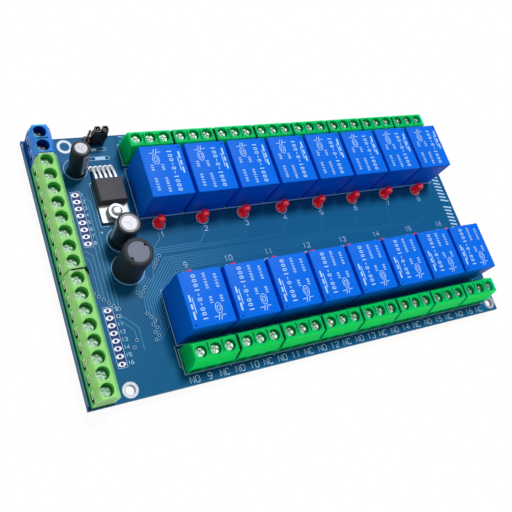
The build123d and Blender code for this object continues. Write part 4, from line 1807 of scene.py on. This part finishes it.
@dataclass
class BoardSurface:
    """What lies on the board's top face: copper under the mask, rings, print and solder."""

    copper: float = 0.035
    mask_width: float = 0.27
    bed: float = -0.01
    print_high: float = 0.03
    outline_width: float = 0.17
    can_ring: Triple = (15.6, 79.7, 3.95)
    pad_columns: tuple[Point, ...] = ((13.1, 70.1), (13.55, 29.0))
    pad_pitch: float = 2.54
    bus_vias: tuple[Point, ...] = (
        (17.31, 28.87), (15.97, 30.13), (14.70, 31.44), (13.32, 32.78), (12.02, 34.06), (10.70, 35.34),
    )
    fan_vias: tuple[Point, ...] = (
        (25.94, 25.70), (26.92, 24.35), (27.92, 23.03), (26.92, 21.74), (27.89, 20.48), (26.87, 19.14),
        (27.84, 17.88), (26.53, 16.59),
    )
    step_vias: tuple[Point, ...] = ((35.69, 44.63), (34.61, 43.35), (33.61, 42.02), (32.68, 40.79))
    coil_vias: tuple[Point, ...] = ((27.74, 34.34), (26.68, 33.06), (25.64, 31.78), (24.62, 33.10))
    lone_vias: tuple[Point, ...] = ((16.47, 26.74), (20.28, 17.83), (18.88, 15.61))

    def vias(self) -> list[Place]:
        """Gives every via's place."""
        groups = self.bus_vias + self.fan_vias + self.step_vias + self.coil_vias + self.lone_vias
        return [Place(x, y) for x, y in groups]

    def pads(self) -> list[Place]:
        """Gives the empty pads' places, column by column."""
        return [Place(x, first - self.pad_pitch * index) for x, first in self.pad_columns for index in range(8)]

    def bus_runs(self) -> list[list[Point]]:
        """Routes the pads' runs down to the vias beside the lower column.

        Returns:
            The runs' paths.
        """
        starts = (
            [(15.2, 70.8), (15.2, 69.5), (17.2, 67.6), (17.65, 66.4), (17.5, 32.0)],
            [(15.4, 67.1), (16.5, 65.8), (16.4, 62.0), (16.2, 32.3)],
            [(15.1, 51.0), (14.95, 49.0), (14.9, 32.6)],
            [(11.4, 50.1), (13.6, 48.0), (13.55, 33.6)],
            [(11.2, 47.8), (12.3, 46.5), (12.3, 35.1)],
        )
        runs = [[*start, via] for start, via in zip(starts, self.bus_vias)]
        runs.append([self.lone_vias[0], (17.5, 26.4), (19.7, 24.3), (21.9, 21.7), (21.8, 14.0)])
        runs.append([(16.2, 25.4), (19.2, 22.4), (20.4, 20.8), self.lone_vias[1]])
        return runs

    def fan_runs(self) -> list[list[Point]]:
        """Routes the fan: up from its vias in lanes, off at a slant, then along between the relay rows.

        Lane k has its corner at (26.2 + 0.82 k, 30.4 - 0.15 k) and its slant's top at (37 + 0.5 k, 43.7 - 0.8 k).

        Returns:
            The runs' paths.
        """
        feet = ([], [], [], [(27.5, 21.74), (28.66, 22.9)], [(28.6, 20.48), (29.48, 21.4)],
                [(28.3, 19.2), (30.3, 21.2)], [(28.5, 18.1), (31.12, 20.7)], [(28.3, 16.5), (31.94, 20.1)])
        runs = []
        for k, (via, foot) in enumerate(zip(self.fan_vias, feet)):
            corner, top = (26.2 + 0.82 * k, 30.4 - 0.15 * k), (37.0 + 0.5 * k, 43.7 - 0.8 * k)
            runs.append([via, *foot, corner, top, *self.finish(top, k)])
        return runs

    @staticmethod
    def finish(top: Point, k: int) -> list[Point]:
        """Leads lane k on: the first three to status lights 6 to 8, the rest to front relays 13 to 9.

        Args:
            top: Where the slant ends.
            k: The lane's number, from 0.

        Returns:
            The path's further points.
        """
        if k < 3:
            x = FIRST_CHANNEL + CHANNEL_PITCH * (5 + k) - 2.95
            return [(x - 2.5, top[1]), (x, top[1] + 2.5), (x, 53.8)]
        x = FIRST_CHANNEL + CHANNEL_PITCH * (7 - k) + 4.6
        return [(x, top[1]), (x + 1.2, top[1] - 1.2)]

    def light_runs(self) -> list[list[Point]]:
        """Routes status lights 1 to 5 to the stepped vias, and short runs to the coil's vias.

        Returns:
            The runs' paths.
        """
        lights = [FIRST_CHANNEL + CHANNEL_PITCH * index - 2.95 for index in range(5)]
        runs = [[(lights[0], 53.9), (lights[0], 50.8), (34.5, 47.6)]]
        for index, (via, x) in enumerate(zip(self.step_vias[::-1], lights[1:])):
            level = 47.3 - 0.85 * index
            rise = (via[0], level - 2.4 + 0.8 * index)
            runs.append([via, rise, (via[0] + level - rise[1], level), (x - 2.4, level), (x, level + 2.4), (x, 53.7)])
        runs += [
            [self.step_vias[3], (31.9, 39.5), (31.4, 37.5), (28.1, 34.5), self.coil_vias[0]],
            [self.coil_vias[1], (26.9, 34.4), (30.2, 37.5)],
            [self.coil_vias[2], (25.7, 34.6), (29.4, 38.0)],
            [self.coil_vias[3], (24.6, 33.9), (25.1, 35.2), (28.9, 38.5)],
        ]
        for index in range(CHANNELS_PER_ROW):
            x = FIRST_CHANNEL + CHANNEL_PITCH * index
            runs.append([(x - 1.2, 37.0), (x - 1.2, 38.3)])
        return runs

    def traces(self) -> Shell:
        """Lays the copper runs that show through the mask.

        Returns:
            The runs.
        """
        shell = Shell()
        for run in self.bus_runs() + self.fan_runs() + self.light_runs():
            shell.join(ribbon(run, self.mask_width, self.bed, self.copper))
        return shell

    def area(self) -> Shell:
        """Lays the wide copper by the supply, which shows as a paler shade of the mask."""
        loop = np.array([(9.4, 82.6), (30.6, 82.6), (30.6, 80.6), (31.6, 79.6), (31.6, 91.0), (9.4, 91.0)])
        return Shell().stack([at(loop, self.bed), at(loop, 0.018)])

    def pad_rings(self) -> Shell:
        """Builds the bright ovals of the empty pads on both faces, and the legs' rings.

        Returns:
            The rings.
        """
        unit_circle = circle(1.0, 28)
        oval, bore = unit_circle * [1.27, 0.8], unit_circle * 0.52
        pad = washer(oval, bore, self.bed, 0.05)
        pads = pad.join(washer(oval, bore, -THICKNESS - 0.05, -THICKNESS - self.bed)).copies(self.pads())
        tip = washer(unit_circle * 0.92, unit_circle * 0.4, self.bed, 0.06)
        return pads.join(tip.copies(row(LEG_COUNT, LEG_PITCH, REGULATOR_X, LEG_ROW + 0.3)))

    def via_rings(self) -> Shell:
        """Builds the vias' thin rings under the mask, and the run along the board's end, whose light colour is painted
        light for the board's lit edge.
        """
        rings = washer(circle(0.56, 16), circle(0.38, 16), self.bed, 0.045).copies(self.vias())
        # The run along the end takes the light via finish as painted light for the board's lit edge.
        return rings.join(ribbon([(0.3, 1.0), (0.3, LAYOUT_WIDTH - 1.0)], 0.5, self.bed, self.copper))

    def pad_field(self) -> Shell:
        """Lays the shaded fields under the two pad columns.

        Returns:
            The fields.
        """
        shell = Shell()
        for x, first in self.pad_columns:
            length, middle = 7 * self.pad_pitch + 2.2, first - 3.5 * self.pad_pitch
            shell.join(slab(2.9, length, self.bed, 0.012, x + 0.1, middle))
        return shell

    def mount_rings(self) -> Shell:
        """Builds the plated rings of the mounting holes.

        Returns:
            The rings, each joined through its hole.
        """
        barrel = ((2.62, -0.01), (2.58, 0.05), (1.66, 0.05), (1.58, 0.0), (1.58, -THICKNESS), (1.66, -1.65),
                  (2.58, -1.65), (2.62, -1.59))
        mount = Shell().grid(np.stack([at(circle(r, 40), z) for r, z in barrel]), True, True)
        return mount.copies([Place(x, y) for x in HOLE_X for y in HOLE_Y])

    def strokes(self) -> Shell:
        """Prints the outlines round the parts.

        Returns:
            The print.
        """
        low, high = 0.0, self.print_high
        lines: list[tuple[list, float]] = []
        for near, far in ((13.2, 32.6), (3.4, 11.9)):
            for first, second in ((near, far), (LAYOUT_WIDTH - near, LAYOUT_WIDTH - far)):
                lines.append((box_path(32.5, first, 164.8, second), self.outline_width))
        for index in range(1, CHANNELS_PER_ROW):
            x = FIRST_CHANNEL + CHANNEL_PITCH * (index - 0.5)
            lines += [([(x, start), (x, end)], self.outline_width)
                      for start, end in ((32.6, 33.4), (58.8, 59.6), (3.4, 2.7))]
        lines.append(([(31.6, 13.4), (31.6, 6.4), (32.6, 5.4)], 0.14))
        for x, first in self.pad_columns:
            lines.append((box_path(x - 1.4, first - 7 * self.pad_pitch - 1.15, x + 1.6, first + 1.15), 0.15))
        for *corners, width in ((18.9, 57.6, 29.9, 73.9, 0.14), (22.3, 86.1, 27.9, 87.1, 0.12),
                                (20.5, 82.5, 28.3, 83.7, 0.12)):
            lines.append((box_path(*corners), width))
        shell = Shell().join(*(ribbon(path, width, low, high) for path, width in lines))
        for x, y, radius in (self.can_ring, (23.9, 52.2, 4.4), (23.8, 41.6, 5.5)):
            shell.join(closed_ribbon(circle(radius, 56) + [x, y], self.outline_width, low, high))
        ring = closed_ribbon(circle(2.25, 32), 0.2, low, high)
        shell.join(ring.copies([place.then(1.75, LIGHT_INWARD) for place in channel_places().values()]))
        x, y, radius = self.can_ring
        for step in np.linspace(-2.9, 2.9, 9).tolist():
            reach = ((radius - 0.15) ** 2 - step**2) ** 0.5
            shell.join(ribbon([(x + reach - 0.9, y + step), (x + reach, y + step)], 0.18, low, high))
        return shell

    def fields(self) -> Shell:
        """Prints the filled parts of the two jumper legends."""
        low, high = 0.0, self.print_high + 0.01
        return slab(2.1, 0.9, low, high, 23.5, 86.6).join(slab(3.6, 1.1, low, high, 25.1, 83.1))

    def edge_bars(self) -> Shell:
        """Prints plain slanted bars, long and short, along the right edge.

        Returns:
            The bars.
        """
        shell = Shell()
        for index, across in enumerate([3.4, 3.4, 3.4, 4.1, 0.0, 4.1, 3.4, 3.4, 3.4, 3.4] * 3):
            if across:
                y = 71.2 - 1.6 * index
                shell.join(ribbon([(166.1, y), (166.1 + across, y - 0.25 * across)], 0.62, 0.0, self.print_high))
        return shell

    def dark_spots(self) -> Shell:
        """Builds the legends' dark dots, and the vias' mouths and the walls of the pads' holes, which are dark as
        painted shade.

        Returns:
            The spots and walls.
        """
        dots = ((24.97, 86.6), (26.32, 86.6), (21.08, 83.1), (22.58, 83.1), (27.33, 83.1))
        shell = revolved([(0.33, 0.0), (0.33, 0.05)], 16).copies([Place(x, y) for x, y in dots])
        shell.join(revolved([(0.38, 0.0), (0.38, 0.035)], 12).copies(self.vias()))
        wall = washer(circle(0.53, 20), circle(0.47, 20), -THICKNESS - 0.04, 0.045)
        return shell.join(wall.copies(self.pads()))

    def labels(self) -> Shell:
        """Prints the plain numbers of the pads and channels, and the contacts' usual letters.

        Returns:
            The figures.
        """
        low, high = 0.0, self.print_high
        shell = Shell()
        for index, place in enumerate(self.pads()):
            text = figures(str(index + 1), 1.1, 0.17, low, high)
            shell.join(text.copies([place.then(2.4 if index < 8 else 2.9, 0.0)]))
        for number, place in channel_places().items():
            for text, x in (("NO", -5.4), (str(number), 0.0), ("NC", 5.4)):
                shell.join(figures(text, 2.05, 0.22, low, high).copies([place.then(x, 1.35)]))
            x, y = (3.2, 39.95) if number > CHANNELS_PER_ROW else (-1.5, 52.2)
            weight = 0.23 - 0.011 * ((number - 1) % CHANNELS_PER_ROW)
            shell.join(figures(str(number), 1.85, weight, low, high).copies([Place(place.x + x, y)]))
        plus = figures("+", 1.4, 0.22, low, high)
        return shell.join(plus.copies([Place(9.6, 77.0), Place(18.6, 55.6)]))

    def solder(self) -> Shell:
        """Builds the solder round the leads that come up through the top face."""
        fillet = revolved([(0.84, -0.01), (0.82, 0.06), (0.55, 0.16), (0.42, 0.3), (0.3, 0.34)], 20)
        return fillet.copies(row(LEG_COUNT, LEG_PITCH, REGULATOR_X, LEG_ROW))

    def build(self, shop: Workshop) -> None:
        """Dresses the board and makes what lies on it.

        Args:
            shop: What makes the objects.
        """
        shop.dress("circuit_board", "mask_blue")
        shop.make("copper_runs", [("mask_over_copper", self.traces())], weld=False)
        shop.make("pad_fields", [("mask_shade", self.pad_field())])
        shop.make("via_rings", [("via_tented", self.via_rings())])
        shop.make("copper_area", [("mask_over_plane", self.area())])
        shop.make("pad_rings", [("pad_tin", self.pad_rings())])
        shop.make("mounting_rings", [("plated_ring", self.mount_rings())])
        prints = self.strokes().join(self.fields(), self.labels(), self.edge_bars())
        marks = [("print_white", prints), ("dark_dots_and_hole_shade", self.dark_spots())]
        shop.make("board_print", marks, weld=False)
        shop.make("top_solder", [("solder", self.solder())])


# Underside


@dataclass
class Underside:
    """The pin tails, their solder, and the small parts below the board."""

    relay_pins: tuple[Point, ...] = ((-6.0, 7.1), (0.0, 7.1), (6.0, 7.1), (-6.0, -7.1), (6.0, -7.1))
    relay_middle: float = 23.0
    chips: tuple[Triple, ...] = ((24.0, 33.4, 90.0), (21.5, 21.2, 0.0))
    # Count, pitch and middle of each row of small tails: the cans', the coil's, the regulator's, the header's
    lead_rows: tuple[tuple[float, ...], ...] = (
        (2, 2.5, 14.85, 79.95), (2, 3.5, 23.75, 52.15), (2, 5.0, 23.6, 41.8),
        (LEG_COUNT, LEG_PITCH, REGULATOR_X, LEG_ROW), (3, HEADER_PITCH, *HEADER_PLACE),
    )
    diode: Point = (17.0, 61.0)

    def joint(self, radius: float, tall: float) -> Shell:
        """Turns one solder joint: a hollow cone from the board down towards the tail's tip.

        Args:
            radius: Its radius at the board.
            tall: Its height.

        Returns:
            The joint, top down.
        """
        profile = [(radius, 0.0), (radius * 0.96, 0.08), (radius * 0.72, 0.3), (radius * 0.55, tall * 0.6),
                   (radius * 0.42, tall)]
        return revolved(profile, 14)

    def below(self, place: Place) -> Place:
        """Gives the same spot on the underside, with its own top downwards."""
        return Place(place.x, place.y, -THICKNESS, place.turn, True)

    def joints(self) -> Shell:
        """Puts a joint round every tail.

        Returns:
            The joints.
        """
        large, small = [], []
        for place in channel_places().values():
            middle = place.then(0.0, self.relay_middle)
            large += [self.below(middle.then(x, y)) for x, y in self.relay_pins]
            large += [self.below(place.then(x, 7.5)) for x in (-OUTPUT_PITCH, 0.0, OUTPUT_PITCH)]
            small += [self.below(place.then(LIGHT_ACROSS + x, LIGHT_INWARD)) for x in (-1.27, 1.27)]
        for middle, ways in INPUT_BLOCKS.values():
            large += [self.below(Place(4.0, middle + spot.x)) for spot in row(ways, INPUT_PITCH)]
        small += [self.below(spot) for line in self.lead_rows for spot in row(*line)]
        return self.joint(1.35, 1.7).copies(large).join(self.joint(0.8, 1.3).copies(small))

    def chip(self) -> Shell:
        """Builds a chip's body, with its pin mark, leaning in above and below its parting line.

        Returns:
            The chip's body.
        """
        loops = []
        for inset, height in ((0.35, 0.1), (0.0, 1.05), (0.0, 1.3), (0.35, 2.2), (0.45, 2.3)):
            loops.append(at(rounded(7.5 - 2 * inset, 10.3 - 2 * inset, 0.15, 2), height))
        mark = revolved([(0.5, 2.2), (0.5, 2.31), (0.4, 2.312), (0.0, 2.305)], 16)
        return Shell().stack(loops).join(mark.copies([Place(-2.6, 4.0)]))

    def chip_leads(self) -> Shell:
        """Carries each lead out of the chip, down and along the board.

        Returns:
            The leads of both sides.
        """
        path = [(3.6, 1.1), (4.0, 1.15), (4.35, 0.95), (4.55, 0.35), (4.8, 0.14), (5.15, 0.12)]
        lead = swept_bar(smoothed(np.array(path), 1), 0.42, 0.22).copies([Place(0, 0, turn=-pi / 2)])
        places = [Place(0, (index - 3.5) * 1.27) for index in range(8)]
        row = lead.copies(places)
        return row.copies([Place(0, 0), Place(0, 0, turn=pi)])

    def resistors(self) -> tuple[Shell, Shell]:
        """Builds the LEDs' resistors and their tinned ends.

        Returns:
            The bodies, and the ends.
        """
        body = moulded(2.4, 1.55, 0.04, 0.55, 0.05, 0.08)
        end = moulded(0.5, 1.6, 0.0, 0.53, 0.08, 0.08)
        ends = end.copies([Place(-1.35, 0), Place(1.35, 0)])
        spots = [self.below(place.then(LIGHT_ACROSS, LIGHT_INWARD + 4.0)) for place in channel_places().values()]
        return body.copies(spots), ends.copies(spots)

    def runs(self) -> Shell:
        """Lays the wide copper from each relay's contacts to its terminal, and the LEDs' runs.

        Returns:
            The runs.
        """
        shell = Shell()
        for place in channel_places().values():
            for path, width in (
                ([(-6.0, 15.9), (-5.08, 12.4), (-5.08, 7.5)], 2.2),
                ([(6.0, 15.9), (5.08, 12.4), (5.08, 7.5)], 2.2),
                ([(0.0, 30.1), (0.0, 7.5)], 2.6),
                ([(LIGHT_ACROSS + 1.27, LIGHT_INWARD), (3.2, 38.4), (3.3, 39.2)], 0.4),
                ([(0.6, 39.2), (0.2, 42.0), (0.2, 44.0)], 0.4),
            ):
                flat = ribbon(path, width, -THICKNESS - 0.04, -THICKNESS + 0.01)
                shell.join(flat.copies([place]))
        return shell

    def build(self, shop: Workshop) -> None:
        """Makes the joints, chips, resistors and runs, and dresses the tails.

        Args:
            shop: What makes the objects.
        """
        for node in ("relay_pins", "terminal_pins", "component_leads"):
            shop.dress(node, "tinned_leg")
        shop.make("underside_solder", [("solder", self.joints())], weld=False)
        spots = [Place(x, y, -THICKNESS, radians(turn), True) for x, y, turn in self.chips]
        shop.make("driver_chip_bodies", [("moulding", self.chip().copies(spots))], replaces=["driver_chips"])
        feet = self.chip_leads().copies(spots)
        shop.make("driver_chip_feet", [("tinned_leg", feet)], replaces=["driver_chip_leads"])
        bodies, ends = self.resistors()
        shop.make("led_resistor_chips", [("resistor_glaze", bodies), ("solder", ends)], replaces=["led_resistors"])
        spot = [self.below(Place(*self.diode))]
        body = moulded(3.6, 4.6, 0.0, 2.2, 0.2, 0.2, 0.15).copies(spot)
        band = slab(3.3, 0.7, 2.19, 2.22, 0.0, 1.5).copies(spot)
        shop.make("power_diode_body", [("moulding", body), ("sleeve_stripe", band)], replaces=["power_diode"])
        shop.make("underside_copper", [("mask_over_copper", self.runs())], weld=False)


# Studio


@dataclass
class Studio:
    """The camera, the lights and the pale floor."""

    lens: float = 51.362
    eye: Triple = (-55.532, -35.213, 215.179)
    ahead: Triple = (0.48660364, 0.28470247, -0.82593063)
    right: Triple = (0.86208269, -0.30964112, 0.40116806)
    sun_way: Triple = (0.23, 0.39, 1.0)
    sun_strength: float = 2.55
    fill_way: Triple = (-1.0, 0.05, 0.5)
    fill_strength: float = 0.3
    sky: float = 0.31
    floor_reach: float = 4.0

    def camera(self) -> None:
        """Sets the camera at the photograph's place and view."""
        data = bpy.data.cameras.new("camera")
        data.lens = self.lens
        data.sensor_width = 36.0
        data.sensor_fit = "HORIZONTAL"
        data.clip_start = 0.01
        back, side = -Vector(self.ahead).normalized(), Vector(self.right).normalized()
        turn = Matrix((side, back.cross(side), back)).transposed().to_4x4()
        eye = Vector(self.eye) + Vector((-BOARD_LENGTH / 2, -LAYOUT_WIDTH / 2, TOP))
        camera = linked("camera", data)
        camera.matrix_world = Matrix.Translation(eye * MM) @ turn
        bpy.context.scene.camera = camera

    @staticmethod
    def sun(name: str, way: Triple, strength: float, angle: float) -> None:
        """Sets a sun.

        Args:
            name: Its name.
            way: Where it stands, as a direction from the object.
            strength: Its strength.
            angle: How wide it looks, in degrees.
        """
        data = bpy.data.lights.new(name, "SUN")
        data.energy = strength
        data.angle = radians(angle)
        linked(name, data).rotation_euler = Vector(way).to_track_quat("Z", "Y").to_euler()

    def lights(self) -> None:
        """Sets a soft sun behind and above the board, a weak one at the left, and an even pale sky."""
        self.sun("key", self.sun_way, self.sun_strength, 14.0)
        self.sun("fill", self.fill_way, self.fill_strength, 30.0)
        world = bpy.data.worlds.new("studio")
        bpy.context.scene.world = world
        world.use_nodes = True
        tree = world.node_tree
        background = tree.nodes["Background"]
        background.inputs["Color"].default_value = (1, 1, 1, 1)
        strength = math_node(tree, "MULTIPLY_ADD", seen_directly(tree), 1.0 - self.sky, self.sky)
        wire(tree, strength, background.inputs["Strength"])

    def floor(self) -> None:
        """Lays the floor: white to the camera, with the object's shadow faintly on it."""
        mesh = bpy.data.meshes.new("floor")
        reach = self.floor_reach
        corners = [(x, y, 0) for x, y in box_path(-reach, -reach, reach, reach)[:4]]
        mesh.from_pydata(corners, [], [(0, 1, 2, 3)])
        floor = linked("floor", mesh)
        material = bpy.data.materials.new("floor_pale")
        material.use_nodes = True
        tree = material.node_tree
        shader = tree.nodes["Principled BSDF"]
        shader.inputs["Base Color"].default_value = (0.92, 0.92, 0.93, 1)
        shader.inputs["Roughness"].default_value = 0.9
        glow = tree.nodes.new("ShaderNodeEmission")
        mix = tree.nodes.new("ShaderNodeMixShader")
        sources = (math_node(tree, "MULTIPLY", seen_directly(tree), 0.95), shader.outputs["BSDF"],
                   glow.outputs["Emission"])
        for source, target in zip(sources, mix.inputs):
            wire(tree, source, target)
        wire(tree, mix.outputs["Shader"], tree.nodes["Material Output"].inputs["Surface"])
        mesh.materials.append(material)

    def build(self) -> None:
        """Sets up the whole studio."""
        self.camera()
        self.lights()
        self.floor()
        bpy.context.scene.view_settings.view_transform = "Standard"


def main() -> None:
    """Builds the looks in order."""
    logging.basicConfig(level=logging.INFO, format="%(message)s")
    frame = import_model()
    Studio().build()
    shop = Workshop(frame)
    BoardSurface().build(shop)
    Relays().build(shop)
    Terminals().build(shop)
    StatusLights().build(shop)
    small = Capacitor(x=15.36, y=79.38, radius=3.15, height=13.6, stripe=radians(-64.0), lean=(-0.08, 0.092))
    small.build(shop, "input_capacitor")
    large = Capacitor(x=23.9, y=52.15, radius=4.0, height=13.2, stripe=radians(163.0), lean=(-0.04, 0.02))
    large.build(shop, "output_capacitor")
    Inductor().build(shop)
    Regulator().build(shop)
    SupplySelector().build(shop)
    Underside().build(shop)


if __name__ == "__main__":
    main()
